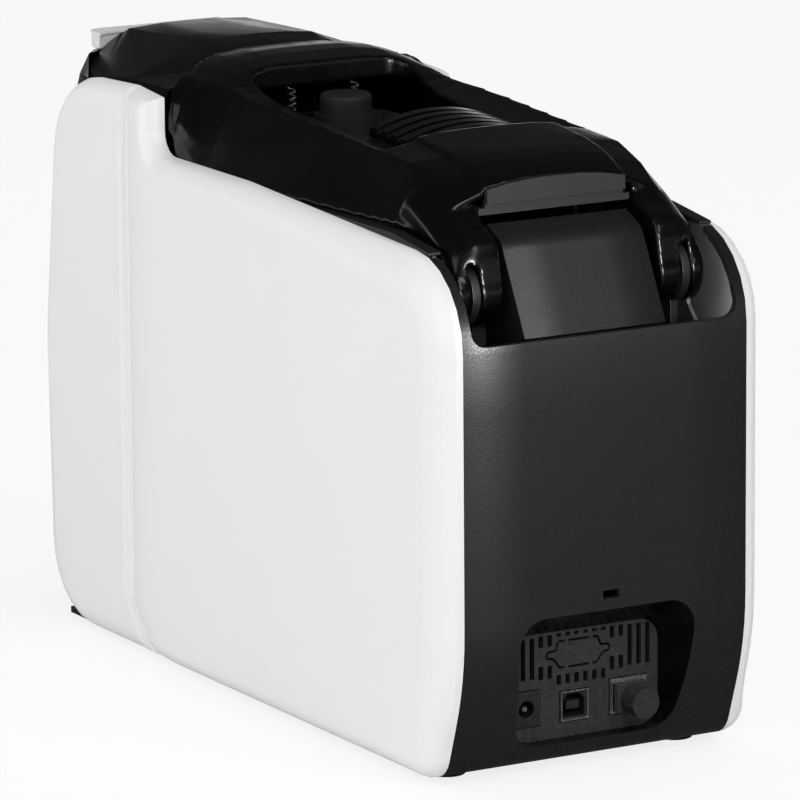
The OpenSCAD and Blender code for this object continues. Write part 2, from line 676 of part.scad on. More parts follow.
// Places its children on the sloping control panel, z out of the panel
module on_panel(x, u) {
    translate([x, panel_c[0], panel_c[1]]) rotate([90 - panel_slope, 0, 0]) translate([0, u, 0]) children();
}
button_at = [[-26, 0], [18, 0], [27.5, 0]];
module front_bezel() {
    color([0.06, 0.06, 0.06]) difference() {
        union() {
            bezel_skin();
            // Side plates that close the covers' front edges
            both_sides() translate([bezel_x - 2, 0, 0]) along_x(2, false) intersection() {
                polygon(inset(rim_path, 0.4));
                translate([front_y, apron_z]) square([bezel_back - front_y, from_top(19) - apron_z]);
            }
            // Bosses that hold the door pin
            both_sides()
                box([door_half + 0.6, door_y - 3, door_z - 3.5], [door_half + 4, bezel_y + wall + 3, door_z + 3]);
        }
        rod_x(-door_half - 5, door_half + 5, door_y, door_z, door_pin_r + 0.02);
        box([-door_half - 0.5, front_y, door_lo - 1.2], [door_half + 0.5, bezel_y + wall + 1, door_hi + 0.5]);
        box([-bin_half - 0.4, front_y, bin_floor - fit], [bin_half + 0.4, bezel_y + 25, bin_hi]);
        for (b = button_at) on_panel(b[0], b[1]) translate([0, 0, -6]) cylinder(h = 12, r = button_r + fit);
        on_panel(-3, 0) translate([-15.2, -5.7, -1.2]) cube([30.4, 11.4, 12]);
        // Room for the front cap
        translate([0, 0, cap_low - fit]) linear_extrude(40) polygon(concat([[-rim_x - 1, rear_y]],
            [for (k = [-12:12]) let (x = k / 12 * rim_x) [x * 1.005, cap_front_at(x) - fit]], [[rim_x + 1, rear_y]]));
    }
}
door_y = bezel_y + 3.6;
door_z = door_lo + 3;
door_pin_r = 1.5;
module input_door() {
    color([0.06, 0.06, 0.06]) {
        box([-door_half, bezel_y, door_z + 1.5], [door_half, bezel_y + wall, door_hi]);
        // Finger lip at the top edge
        box([-12, bezel_y - 1.6, door_hi - 3], [12, bezel_y + 0.1, door_hi]);
        difference() {
            union() {
                for (x = [-door_half, door_half - 8]) rod_x(x, x + 8, door_y, door_z, 3);
                for (x = [-door_half, door_half - 8]) box([x, bezel_y, door_z - 0.6], [x + 8, door_y, door_z + 3]);
            }
            rod_x(-door_half - 1, door_half + 1, door_y, door_z, door_pin_r + run);
        }
    }
}
module door_pin() {
    color("silver") rod_x(-door_half - 3.5, door_half + 3.5, door_y, door_z, door_pin_r);
}
module display_window() {
    color([0.02, 0.02, 0.03]) on_panel(-3, 0) translate([0, 0, -1.2]) linear_extrude(1.8)
        pill([-15, -5.5], [15, 5.5], 2);
}
module panel_button(i) {
    on_panel(button_at[i][0], button_at[i][1]) translate([0, 0, -wall * cos(panel_slope) - 0.05]) {
        cylinder(h = wall + 1, r = button_r);
        translate([0, 0, -1]) cylinder(h = 1, r = button_r + 1);
    }
}
module power_button() {
    color([0.3, 0.3, 0.32]) panel_button(0);
}
module feed_button() {
    color([0.3, 0.3, 0.32]) panel_button(1);
}
module stop_button() {
    color([0.3, 0.3, 0.32]) panel_button(2);
}

hopper_rear = pick_y + 14;
hopper_front = bezel_y + wall + 4;
hopper_floor = path_z - 0.3;
hopper_top = from_top(30);
module input_hopper() {
    color([0.13, 0.13, 0.13]) difference() {
        box([-card_half - wall, hopper_front, hopper_floor - wall], [card_half + wall, hopper_rear + wall, hopper_top]);
        box([-card_half, hopper_front - 1, hopper_floor], [card_half, hopper_rear, hopper_top + 1]);
        // The card slot at the foot of the rear wall, and the window for the pick roller
        box([-card_half, hopper_rear - 1, hopper_floor], [card_half, hopper_rear + wall + 1, hopper_floor + 2]);
        box([-13, pick_y - roller_r - 1.5, hopper_floor - wall - 1], [13, pick_y + roller_r + 1.5, hopper_floor + 1]);
        // Finger notches in the side walls
        along_x(body_w) pill([hopper_front - 20, path_z + 26], [hopper_front + 16, hopper_top - 8], 8);
    }
    // Lugs to the frame plates
    color([0.13, 0.13, 0.13]) for (y = [hopper_front + 30, hopper_rear - 12]) both_sides()
        box([card_half + wall - 0.1, y, path_z + 12], [frame_x, y + 8, path_z + 15]);
}
module card_weight() {
    color([0.3, 0.3, 0.3]) {
        box([-card_half + 0.5, hopper_rear - 62, path_z + 0.1], [card_half - 0.5, hopper_rear - 1, path_z + 2.6]);
        box([-6, hopper_rear - 40, path_z + 2.5], [6, hopper_rear - 22, path_z + 7]);
    }
}
bin_front = front_y;
bin_rear = bin_front + card_l + 5;
bin_floor = 15;
module output_tray() {
    side_view = [[bin_front, bin_floor, 4], [bin_rear, bin_floor, 0], [bin_rear, bin_hi - 6, 0],
        [bezel_y + 6, bin_hi - 6, 10], [bin_front, 44, 8]];
    color([0.07, 0.07, 0.07]) {
        difference() {
            along_x(2 * bin_half) polygon(round_path(side_view));
            box([-bin_half + wall, bin_front + wall, bin_floor + wall], [bin_half - wall, bin_rear - wall, body_h]);
            // Finger scoop in the front lip
            along_y(front_y - 1, front_y + 20) pill([-14, 27], [14, 90], 10);
        }
        // Foot that stands on the base tray's apron
        box([-bin_half + 4, bezel_y + 20, apron_z + wall], [bin_half - 4, cap_side_y - 8, bin_floor + 0.1]);
    }
}

/* ---- lid ---- */
lid_rear = hinge_y - 8.8;
crest_x = 45;
// Heights as drops below the crown, and half widths, against distance from the rear face
function along(y, table) = lookup(rear_y - y, table);
// The hood behind the thumb rest, and the middle of the lid ahead of it
hood_drop = [[36, 24.4], [44, 19.8], [53, 17.2], [85.5, 13.1]];
mid_drop = [[85.5, 20.4], [101, 20], [151, 16.7], [175, 15.9], [188, 13], [196, 9], [203, 5], [206, 3.3], [212.6, 1],
    [217.6, 1.1], [222, 2], [226, 2.6]];
crest_drop = [[36, 32.4], [48, 24.2], [63.5, 18.4], [101, 16], [151, 12.7], [187, 11.6], [211, 8.6], [226, 7.4]];
lid_edge_drop = [[36, 40.1], [219, 40.1], [221.5, 30], [225, 29]];
lid_half_width = [[36, rim_x - 8], [46, rim_x - 8], [81, rim_x - 3.5], [121, rim_x - 0.5], [226, rim_x - 0.5]];
flank_power = [[36, 1], [198, 1], [207, 1.2], [219, 2], [225, 2.6]];
hood_from = 85.5;
lid_stations = [225, 221.5, 219, 215.5, 211, 206, 203, 196, 188, 178, 160, 142, 124, 108, hood_from + 0.2, hood_from,
    76, 64, 55, 48, 42, rear_y - lid_rear];

// One ring of the lid, t inside its outer face, whose bow follows the seam as far as station d0
function lid_ring(d, t, d0) =
    let (y = rear_y - d, w = along(y, lid_half_width) - t, e = from_top(along(y, lid_edge_drop)) - (t > 0 ? 1 : 0),
        hood = d <= hood_from, c = from_top(along(y, crest_drop)) - t,
        h = from_top(along(y, hood ? hood_drop : mid_drop)) - t,
        p = 2 / along(y, flank_power), x1 = crest_x - t, bow = seam_bow * max(0, (d0 - 203) / 22),
        flank = [for (a = [0:15:90]) [x1 + (w - x1) * pow(cos(a), p), e + (c - e) * pow(sin(a), p)]],
        top = [for (x = [hood_half + 8, hood_half + 1, hood_half, 20, 10])
            [x - t / 2, h < c ? h + (c - h) * pow(max(0, (x - 31) / 14), 1.2) :
                h - (h - c) * pow(x / crest_x, hood ? 2.6 : 4) + (hood && x <= hood_half ? hood_rise : 0)]],
        half = concat(flank, top),
        ring = concat(half, [[0, h + (hood ? hood_rise : 0)]], [for (q = backwards(half)) [-q[0], q[1]]]))
    [for (q = ring) [q[0], y - bow * (1 - pow(min(1, abs(q[0]) / bow_half), 2)), q[1]]];
module lid_body(t) {
    n = len(lid_stations);
    loft([for (i = [0:n - 1]) let (d = lid_stations[i])
        lid_ring(t == 0 ? d : i == 0 ? d - t : i == n - 1 ? d - 1 : d, t, d)]);
}
// Lower edge of the skirt round the hand opening
skirt_z = from_top(4.8) - skirt_depth;
hand_front = from_rear(207.5);
hand_rear = from_rear(126.5);
grip_rear = from_rear(hood_from + 0.7);
module hand_outline(grow) {
    w = hand_half;
    polygon(round_path([[-w - grow, hand_front - grow, 9], [w + grow, hand_front - grow, 9],
        [w - 4 + grow, hand_front + 36, 30], [w - 6 + grow, hand_rear + grow, 2], [-w + 6 - grow, hand_rear + grow, 2],
        [-w + 4 - grow, hand_front + 36, 30]]));
}
// An arm's side view, pulled in by d at its upper and rear edges
module lid_arm_profile(d) {
    polygon(round_path([[hinge_y - 31, seam_z + 2, 2], [hinge_y - barrel_r - 2, hinge_z + 2, 6],
        [hinge_y, hinge_z - 2, 0], [hinge_y + barrel_r - 0.2, hinge_z + 0.5, 0],
        [hinge_y + 8 - 0.6 * d, from_top(39.8) - d, 10], [hinge_y - 1.5 - 0.5 * d, from_top(37) - d, 8],
        [hinge_y - 10.5, from_top(31.4) - d, 10], [hinge_y - 30, from_top(21.2) - 1.2 * d, 4]], 3));
}
// Places across the outer part of an arm, and how far its edges are pulled in there
arm_round = [[arm_out - 9, 0], [arm_out - 5.5, 1.6], [arm_out - 2.8, 3.4], [arm_out - 1, 5.4], [arm_out - 0.1, 7.8]];
module lid_arm() {
    translate([arm_in, 0, 0]) along_x(arm_w - 9, false) lid_arm_profile(0);
    for (i = [0:3]) hull() for (a = [arm_round[i], arm_round[i + 1]])
        translate([a[0] - 0.05, 0, 0]) along_x(0.1, false) lid_arm_profile(a[1]);
    rod_x(arm_in, arm_out, hinge_y, hinge_z, barrel_r);
}
module lid() {
    color([0.03, 0.03, 0.03]) difference() {
        union() {
            difference() {
                lid_body(0);
                difference() {
                    lid_body(wall);
                    // The skirt round the hand opening is left standing
                    translate([0, 0, skirt_z]) linear_extrude(30) difference() {
                        hand_outline(2);
                        hand_outline(0);
                    }
                }
            }
            both_sides() lid_arm();
        }
        translate([0, 0, seam_z]) linear_extrude(60) hand_outline(0);
        translate([-26.3, hand_rear - 1, seam_z]) cube([52.6, grip_rear - hand_rear + 1.3, 60]);
        for (x = side(lug_x)) rod_x(x - lug_groove / 2, x + lug_groove / 2, hinge_y, hinge_z, groove_r);
        both_sides() rod_x(arm_in - 1, arm_out + 1, hinge_y, hinge_z, pin_r + run);
    }
}
liner_z = seam_z + 6.5;
liner_front = seam_y + 8;
liner_rear = hinge_y - 8.2;
// The plate that closes the rear end of the hood
module hood_end() {
    top = [for (q = lid_ring(rear_y - lid_rear, 0, 0)) if (abs(q[0]) <= hood_half) [q[0] * 0.985, q[2] - 0.3]];
    polygon(concat([[-hood_half * 0.985, liner_z + 4.2], [hood_half * 0.985, liner_z + 4.2]], top));
}
module lid_liner() {
    liner_half = rim_x - 9;
    color([0.2, 0.2, 0.2]) difference() {
        union() {
            translate([0, 0, liner_z]) linear_extrude(wall) polygon([[-liner_half, liner_front], [liner_half, liner_front],
                [liner_half, hinge_y - 100], [liner_half - 3, hinge_y - 55], [arm_in - fit, hinge_y - 38], [arm_in - fit - 1, liner_rear],
                [-arm_in + fit + 1, liner_rear], [-arm_in + fit, hinge_y - 38], [3 - liner_half, hinge_y - 55],
                [-liner_half, hinge_y - 100]]);
            // The end face that shows under the hood
            along_y(liner_rear - 2, liner_rear) pill([-hood_half + 0.5, liner_z], [hood_half - 0.5, liner_z + 6.6], 2.5);
            along_y(lid_rear + 0.1, lid_rear + 2.3) hood_end();
            // Walls that carry the latch axle
            for (x = side(lever_half + 2)) box([x - 1.2, lever_y - 4, liner_z + 1], [x + 1.2, lever_y + 4, lever_z + 3]);
            // Sleeve that guides the release button
            rod_z(0, button_y, liner_z, liner_z + 13.5, button_rad + fit + 2);
            // Posts behind the button that hold the thumb rest
            for (x = side(20)) box([x - 2, grip_rear - 8, liner_z + 1], [x + 2, grip_rear - 4, grip_under(22) - 2.2]);
        }
        rod_z(0, button_y, liner_z - 1, liner_z + 14, button_rad + fit);
        // Way for the lever's leg and its rear pad
        box([-9, nose_y - 2.5, liner_z - 1], [9, nose_y + 5, liner_z + wall + 1]);
        box([-7, lever_y + 4, liner_z + wall], [7, button_y, pad_top + 0.8]);
        box([-lever_half - 0.8, lever_y - 5, liner_z + wall], [lever_half + 0.8, lever_y + 5, lever_z + 8]);
        for (x = side(lever_half + 2)) rod_x(x - 3, x + 3, lever_y, lever_z, axle_r + 0.02);
    }
}
grip_z = from_top(11.7);
grip_crown = 70;
// Height of the thumb rest's underside at x
function grip_under(x) = grip_z - grip_crown + sqrt(pow(grip_crown - wall, 2) - x * x);
module grip_insert() {
    crown_drop = 4;
    pitch = (grip_rear - hand_rear - 3) / grip_ribs;
    // It falls a little to the rear
    color([0.04, 0.04, 0.04]) translate([0, hand_rear, grip_z]) rotate([-3.2, 0, 0]) translate([0, -hand_rear, -grip_z]) {
        // A crowned plate, thicker under each rib
        intersection() {
            along_y(hand_rear, grip_rear) difference() {
                translate([0, grip_z - grip_crown]) circle(r = grip_crown, $fn = 180);
                translate([0, grip_z - grip_crown]) circle(r = grip_crown - wall, $fn = 180);
            }
            box([-26, hand_rear, grip_z - 20], [26, grip_rear, grip_z + 10]);
        }
        for (i = [0:grip_ribs - 1]) intersection() {
            along_y(hand_rear + i * pitch + 1, hand_rear + i * pitch + 1 + pitch * 0.62) difference() {
                translate([0, grip_z - grip_crown + 1.2]) circle(r = grip_crown, $fn = 180);
                translate([0, grip_z - grip_crown]) circle(r = grip_crown - 1, $fn = 180);
            }
            box([-26, hand_rear, grip_z - 20], [26, grip_rear, grip_z + 10]);
        }
        // The front lip of the thumb rest
        box([-26, hand_rear, grip_z - 9], [26, hand_rear + 2, grip_z - crown_drop - 1]);
    }
}

button_y = from_rear(190.5);
button_rad = 10;
button_top = from_top(14);
lever_z = liner_z + 7;
nose_y = lever_y - 10.6;
lever_half = 16.5;
axle_r = 1.5;
spring_y = hand_front - 0.6;
spring_x = 14;
spring_seat = skirt_z;
pad_top = lever_z + 1.6;
stem_r = 2;
module release_button() {
    color([0.05, 0.05, 0.05]) {
        // Stem whose domed end presses on the lever
        translate([0, button_y, pad_top + fit + stem_r]) sphere(r = stem_r);
        rod_z(0, button_y, pad_top + fit + stem_r, button_top - 8, stem_r);
        rod_z(0, button_y, button_top - 8.7, button_top - 1, button_rad);
        translate([0, button_y, button_top - 1]) cylinder(h = 1, r1 = button_rad, r2 = button_rad - 1);
    }
}
module latch_lever() {
    color([0.35, 0.35, 0.36]) difference() {
        union() {
            rod_x(-lever_half, lever_half, lever_y, lever_z, 3.2);
            // Front arm under the springs
            box([-lever_half, nose_y, lever_z - 1.6], [lever_half, lever_y, lever_z + 0.4]);
            // Rear pad under the button
            box([-5, lever_y, pad_top - 2.4], [5, button_y + 3, pad_top]);
            // Leg with its nose, ahead of the catch bar
            box([-8, nose_y, top_frame_z - 5], [8, nose_y + 2.6, lever_z]);
            box([-8, nose_y, top_frame_z - 5], [8, nose_y + 3.8, top_frame_z - 2]);
        }
        rod_x(-lever_half - 1, lever_half + 1, lever_y, lever_z, axle_r + run);
    }
}
module latch_axle() {
    color("silver") rod_x(-lever_half - 3.2, lever_half + 3.2, lever_y, lever_z, axle_r);
}
module latch_springs() {
    color("silver") for (x = side(spring_x))
        coil(x, spring_y, lever_z + 0.5, spring_seat - 0.1, 1.5, 0.3, 6);
}

head_lo = path_z + 1.2;
carrier_lo = path_z + 14;
carrier_hi = liner_z;
module head_carrier() {
    color([0.12, 0.12, 0.12]) difference() {
        box([-card_half - 3, platen_y - 12, carrier_lo], [card_half + 3, platen_y + 12, carrier_hi]);
        // Hollow that takes the sliding head
        box([-card_half - 0.3, platen_y - 8.3, carrier_lo - 1], [card_half + 0.3, platen_y + 8.3, carrier_lo + 12]);
    }
}
module print_head() {
    color([0.55, 0.5, 0.4]) box([-card_half, platen_y - 8, carrier_lo - 6], [card_half, platen_y + 8, carrier_lo + 5]);
    color([0.75, 0.75, 0.75]) box([-card_half, platen_y - 4, head_lo], [card_half, platen_y + 4, carrier_lo - 5.9]);
}
module head_springs() {
    color("silver") for (x = side(18))
        coil(x, platen_y, carrier_lo + 5.05, carrier_lo + 11.95, 2.5, 0.35, 4);
}

/* ---- ribbon and rollers ---- */
module spool(y) {
    color([0.25, 0.25, 0.27]) {
        rod_x(-card_half - 3, card_half + 3, y, spool_z, 8);
        for (x = [-card_half - 3, card_half + 1.5]) rod_x(x, x + 1.5, y, spool_z, spool_r);
        rod_x(-frame_x - frame_t, frame_x + frame_t, y, spool_z, spool_shaft_r);
    }
}
module supply_spool() {
    spool(supply_y);
}
module takeup_spool() {
    spool(takeup_y);
}
module roller_shaft(y) {
    color("silver") rod_x(-frame_x - frame_t - 1, gear_x + gear_w, y, roller_z, shaft_r);
}
module roller_tyre(y, half) {
    color([0.1, 0.1, 0.1]) difference() {
        rod_x(-half, half, y, roller_z, roller_r);
        rod_x(-half - 1, half + 1, y, roller_z, shaft_r);
    }
}

gear_module = 1;
roller_teeth = 16;
idler_teeth = 39;
pinion_teeth = 12;
// A gear drawing with one tooth centred on angle phase
module gear(teeth, phase) {
    pitch = 360 / teeth;
    r = gear_module * teeth / 2;
    root = r - 1.2 * gear_module;
    tip = r + 0.9 * gear_module;
    rotate(phase) polygon([for (i = [0:teeth - 1])
        for (q = [[root, -0.31], [r, -0.225], [tip, -0.1], [tip, 0.1], [r, 0.225], [root, 0.31]])
            q[0] * [cos((i + q[1]) * pitch), sin((i + q[1]) * pitch)]]);
}
// Phase of a gear of n2 teeth that meshes with one of n1 teeth, along direction d from it
function mesh(phase, n1, n2, d) =
    let (f = (d - phase) * n1 / 360, g = f - floor(f))
    d + 180 - (0.5 - g) * 360 / n2;
rear_idler_y = (feed_y + platen_y) / 2;
front_idler_y = (pick_y + feed_y) / 2;
platen_phase = 0;
rear_idler_phase = mesh(platen_phase, roller_teeth, idler_teeth, 180);
feed_phase = mesh(rear_idler_phase, idler_teeth, roller_teeth, 180);
front_idler_phase = mesh(feed_phase, roller_teeth, idler_teeth, 180);
pick_phase = mesh(front_idler_phase, idler_teeth, roller_teeth, 180);
pinion_phase = mesh(rear_idler_phase, idler_teeth, pinion_teeth, -90);
stub_r = 2;
module gear_at(y, z, teeth, phase, bore) {
    translate([gear_x, y, z]) along_x(gear_w, false) difference() {
        gear(teeth, phase);
        circle(r = bore);
    }
}
module pick_shaft() {
    roller_shaft(pick_y);
}
module pick_tyre() {
    roller_tyre(pick_y, 10);
}
module pick_gear() {
    color("ivory") gear_at(pick_y, roller_z, roller_teeth, pick_phase, shaft_r);
}
module feed_shaft() {
    roller_shaft(feed_y);
}
module feed_tyre() {
    roller_tyre(feed_y, card_half);
}
module feed_gear() {
    color("ivory") gear_at(feed_y, roller_z, roller_teeth, feed_phase, shaft_r);
}
module platen_shaft() {
    roller_shaft(platen_y);
}
module platen_tyre() {
    roller_tyre(platen_y, card_half);
}
module platen_gear() {
    color("ivory") gear_at(platen_y, roller_z, roller_teeth, platen_phase, shaft_r);
}
module front_idler() {
    color("ivory") gear_at(front_idler_y, roller_z, idler_teeth, front_idler_phase, stub_r + run);
}
module rear_idler() {
    color("ivory") gear_at(rear_idler_y, roller_z, idler_teeth, rear_idler_phase, stub_r + run);
}
module idler_stubs() {
    color("silver") for (y = [front_idler_y, rear_idler_y])
        rod_x(frame_x + frame_t, gear_x + gear_w, y, roller_z, stub_r);
}
motor_r = 17.5;
motor_l = 24;
module drive_motor() {
    color([0.2, 0.2, 0.2]) difference() {
        union() {
            rod_x(frame_x - motor_l, frame_x, motor_y, motor_z, motor_r);
            rod_x(frame_x - 0.1, frame_x + frame_t, motor_y, motor_z, 6.9);
        }
        rod_x(frame_x - motor_l / 2, gear_x, motor_y, motor_z, 2.5 + run);
    }
}
module drive_pinion() {
    color("goldenrod") {
        gear_at(motor_y, motor_z, pinion_teeth, pinion_phase, 1);
        rod_x(frame_x - motor_l / 2 + 0.5, gear_x + gear_w, motor_y, motor_z, 2.5);
    }
}

right_cover();
left_cover();
base_tray();
rear_panel();
front_cap();
front_bezel();
top_frame();
hinge_shield();
hinge_bracket();
hinge_pins();
right_frame();
left_frame();
feet();
screws();
io_plate();
main_board();
data_port_shell();
data_port_insert();
network_port();
dust_plug();
power_jack();
jack_pin();
input_door();
door_pin();
input_hopper();
card_weight();
output_tray();
display_window();
light_ring();
power_button();
feed_button();
stop_button();
lid();
lid_liner();
grip_insert();
release_button();
latch_lever();
latch_axle();
latch_springs();
head_carrier();
print_head();
head_springs();
supply_spool();
takeup_spool();
pick_shaft();
pick_tyre();
pick_gear();
feed_shaft();
feed_tyre();
feed_gear();
platen_shaft();
platen_tyre();
platen_gear();
front_idler();
rear_idler();
idler_stubs();
drive_motor();
drive_pinion();
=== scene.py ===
# %% [markdown]
# A desktop printer for plastic cards, dressed round its engineering model.
# The solids arrive as fixed nodes that already have the right size and place, so this lesson
# spends its time on what the eye needs: moulded surfaces, soft edges, light and camera. A piece that
# only needs a finish keeps its solid; one whose edges show gets a softened copy that stands for it.

# %% Load the frame
import json
import math

import bpy
from mathutils import Matrix, Vector


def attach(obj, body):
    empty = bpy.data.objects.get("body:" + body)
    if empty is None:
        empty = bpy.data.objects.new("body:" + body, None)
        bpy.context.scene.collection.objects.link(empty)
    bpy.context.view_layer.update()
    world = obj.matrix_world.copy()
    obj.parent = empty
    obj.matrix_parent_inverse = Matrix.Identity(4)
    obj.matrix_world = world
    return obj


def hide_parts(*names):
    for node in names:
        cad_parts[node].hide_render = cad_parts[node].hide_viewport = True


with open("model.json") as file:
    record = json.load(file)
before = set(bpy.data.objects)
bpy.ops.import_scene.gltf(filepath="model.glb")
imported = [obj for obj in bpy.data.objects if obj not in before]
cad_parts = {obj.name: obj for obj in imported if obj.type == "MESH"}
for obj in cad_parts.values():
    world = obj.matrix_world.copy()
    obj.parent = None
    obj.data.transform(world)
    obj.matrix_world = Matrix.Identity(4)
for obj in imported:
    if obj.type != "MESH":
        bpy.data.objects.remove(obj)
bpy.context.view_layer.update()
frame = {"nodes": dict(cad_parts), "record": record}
nodes = frame["nodes"]
record = frame["record"]
slots = {part["node"]: part["material_slot"] for part in record["subparts"]}
bodies = {name: body for body, names in record["behaviour"]["bodies"].items() for name in names}
MM = 0.001
bpy.ops.object.select_all(action="DESELECT")

# %% [markdown]
# The camera of a product shot stands far away with a long lens, so that upright edges stay upright.
# It could be placed by hand and pointed with a constraint. Its direction from the object, its
# distance, a small roll and a framing offset say the same in numbers that can be compared.
# Angles go round from the front, which is -Y, so 90 is the right side and 180 the back.

# %% Camera
CAMERA_AZIMUTH = 150.04
CAMERA_ELEVATION = 12.19
CAMERA_ROLL = 0.43
CAMERA_DISTANCE = 2.501
LENS_MM = 290.2
SENSOR_MM = 36
SIGHT_END = 20
AIM = Vector((0.0, 0.0, 0.120))
FRAMING = (0.015646, -0.012359)


def towards(azimuth, elevation):
    """The direction that points from the object to azimuth and elevation, both in degrees."""
    a, e = math.radians(azimuth), math.radians(elevation)
    return Vector((math.sin(a) * math.cos(e), -math.cos(a) * math.cos(e), math.sin(e)))


back = towards(CAMERA_AZIMUTH, CAMERA_ELEVATION)
level = Vector((0, 0, 1)).cross(back).normalized()
roll = math.radians(CAMERA_ROLL)
right = math.cos(roll) * level - math.sin(roll) * back.cross(level)
up = back.cross(right)
eye = AIM + right * FRAMING[0] + up * FRAMING[1] + back * CAMERA_DISTANCE
bpy.ops.object.camera_add(location=eye)
camera = bpy.context.object
camera.matrix_world = Matrix.Translation(eye) @ Matrix((right, up, back)).transposed().to_4x4()
camera.data.lens = LENS_MM
camera.data.sensor_width = SENSOR_MM
camera.data.clip_end = SIGHT_END
bpy.context.scene.camera = camera
bpy.context.scene.view_settings.view_transform = "Standard"
print("camera at", [round(v, 3) for v in eye])

# %% [markdown]
# Every finish below is built from shader nodes. Small helpers keep the recipes short: one turns the
# hex value of a plastic chip into the linear colour that shaders take, one adds a node with its
# settings and links, one opens a material with the values that are the same all over it, and one
# links nodes to the shader's sockets. Each pattern reads the object's own coordinates in metres, so a
# noise whose blotches should be so many millimetres wide gets the scale 1 / (width in metres).
# A Mix node has sockets of one name for each kind of data, so its colours go by their numbers.

# %% Helpers for the finishes
MIX_A, MIX_B, MIX_COLOUR = 6, 7, 2


def linear(hex_colour):
    """An sRGB hex colour as the linear RGBA that shaders take."""
    channels = [int(hex_colour[i:i + 2], 16) / 255 for i in (0, 2, 4)]
    return [c / 12.92 if c <= 0.04045 else ((c + 0.055) / 1.055) ** 2.4 for c in channels] + [1.0]


def add(tree, kind, inputs=None, **settings):
    """A shader node with its settings. An input is a value, or a (node, output) pair to link from."""
    shader_node = tree.nodes.new("ShaderNode" + kind)
    for name, value in settings.items():
        setattr(shader_node, name, value)
    for name, value in (inputs or {}).items():
        if isinstance(value, tuple) and isinstance(value[0], bpy.types.Node):
            tree.links.new(value[0].outputs[value[1]], shader_node.inputs[name])
        else:
            shader_node.inputs[name].default_value = value
    return shader_node


def finish(name, colour, roughness, **sockets):
    """A new material with its constants on the shader's own sockets: material, node tree and shader."""
    material = bpy.data.materials.new(name)
    material.use_nodes = True
    shader = material.node_tree.nodes["Principled BSDF"]
    shader.inputs["Base Color"].default_value = linear(colour)
    shader.inputs["Roughness"].default_value = roughness
    for socket, value in sockets.items():
        shader.inputs[socket.replace("_", " ")].default_value = value
    print("finish:", name)
    return material, material.node_tree, shader


def wire(tree, shader, **links):
    """Links (node, output) pairs to the shader's sockets."""
    for socket, (source, output) in links.items():
        tree.links.new(source.outputs[output], shader.inputs[socket.replace("_", " ")])


def wire_skin(tree, shader, tint, rough, relief):
    """Links the colour, the roughness and the relief of a skin to the shader."""
    wire(tree, shader, Base_Color=(tint, MIX_COLOUR), Roughness=(rough, "Result"),
         Normal=(relief, "Normal"))


def per_mm(width):
    """The noise scale whose blotches are this many millimetres wide."""
    return 1 / (width * MM)


print("helpers ready, 1 mm grain has scale", per_mm(1))

# %% [markdown]
# The side covers are injection-moulded ABS in office white. The mould is lightly blasted, which gives
# a satin skin: broad soft reflections, a grain of a few tenths of a millimetre, and faint flow clouds
# some centimetres wide where the plastic cooled. One flat colour would do from afar, but looks like
# paint. So two noises are used, one for the clouds and one for the grain. The grain is drawn at
# 0.9 mm, because a finer one would vanish at the distance of this camera.

# %% Satin white ABS


def satin_white_abs():
    material, tree, shader = finish("satin_white_abs", "ECECEC", 0.42, IOR=1.53)
    place = add(tree, "TexCoord")
    clouds = add(tree, "TexNoise", {"Vector": (place, "Object"), "Scale": per_mm(45), "Detail": 1.0})
    tint = add(tree, "Mix", {0: (clouds, "Fac"), MIX_A: linear("EBEBEB"), MIX_B: linear("EEEEEE")},
               data_type="RGBA")
    skin = add(tree, "TexNoise", {"Vector": (place, "Object"), "Scale": per_mm(0.9), "Detail": 3.0})
    rough = add(tree, "MapRange", {"Value": (skin, "Fac"), "From Min": 0.3, "From Max": 0.7,
                                   "To Min": 0.38, "To Max": 0.48})
    relief = add(tree, "Bump", {"Height": (skin, "Fac"), "Distance": 0.012 * MM, "Strength": 0.5})
    wire_skin(tree, shader, tint, rough, relief)
    return material


looks = {"white_shell": satin_white_abs()}

# %% [markdown]
# The lid, its grip, the cap, the bezel and the card door are black ABS from a polished mould. Such
# plastic mirrors its surroundings in a thin clear way. It gives itself away by a slow waviness some
# centimetres wide, and by hair-fine rubbing marks that lift the roughness in patches. The marks run
# front to back, the way a cloth does, so their noise is stretched along Y.

# %% Polished black ABS


def polished_black_abs():
    material, tree, shader = finish("polished_black_abs", "070708", 0.2, IOR=1.46, Specular_IOR_Level=0.3)
    place = add(tree, "TexCoord")
    wiped = add(tree, "Mapping", {"Vector": (place, "Object"), "Scale": (1, 0.3, 1)})
    marks = add(tree, "TexNoise", {"Vector": (wiped, "Vector"), "Scale": per_mm(12), "Detail": 4.0})
    rough = add(tree, "MapRange", {"Value": (marks, "Fac"), "From Min": 0.35, "From Max": 0.65,
                                   "To Min": 0.17, "To Max": 0.27})
    waves = add(tree, "TexNoise", {"Vector": (place, "Object"), "Scale": per_mm(28), "Detail": 0.0})
    relief = add(tree, "Bump", {"Height": (waves, "Fac"), "Distance": 0.04 * MM, "Strength": 0.25})
    wire(tree, shader, Roughness=(rough, "Result"), Normal=(relief, "Normal"))
    return material


looks["gloss_black"] = polished_black_abs()

# %% [markdown]
# The base, the rear panel and the hinge shield are black ABS from a spark-eroded mould. Its pitted
# skin is matte from afar, but every small peak catches the light, so a lamp near the mirror angle
# draws a sparkling haze. Real pits are 0.1 to 0.2 mm wide; they are drawn at 0.8 mm so that they
# show. The panel and the shield are also crowned towards their edges. A modelled crown would pull the
# panel away from the covers and the sockets, so a broad relief across X and Z bends the light and
# leaves the surface in its place. Each crown is given by where it starts and ends, in millimetres
# from the middle or from the floor, and by the angle in degrees that it turns by at its end.

# %% Spark-eroded black ABS


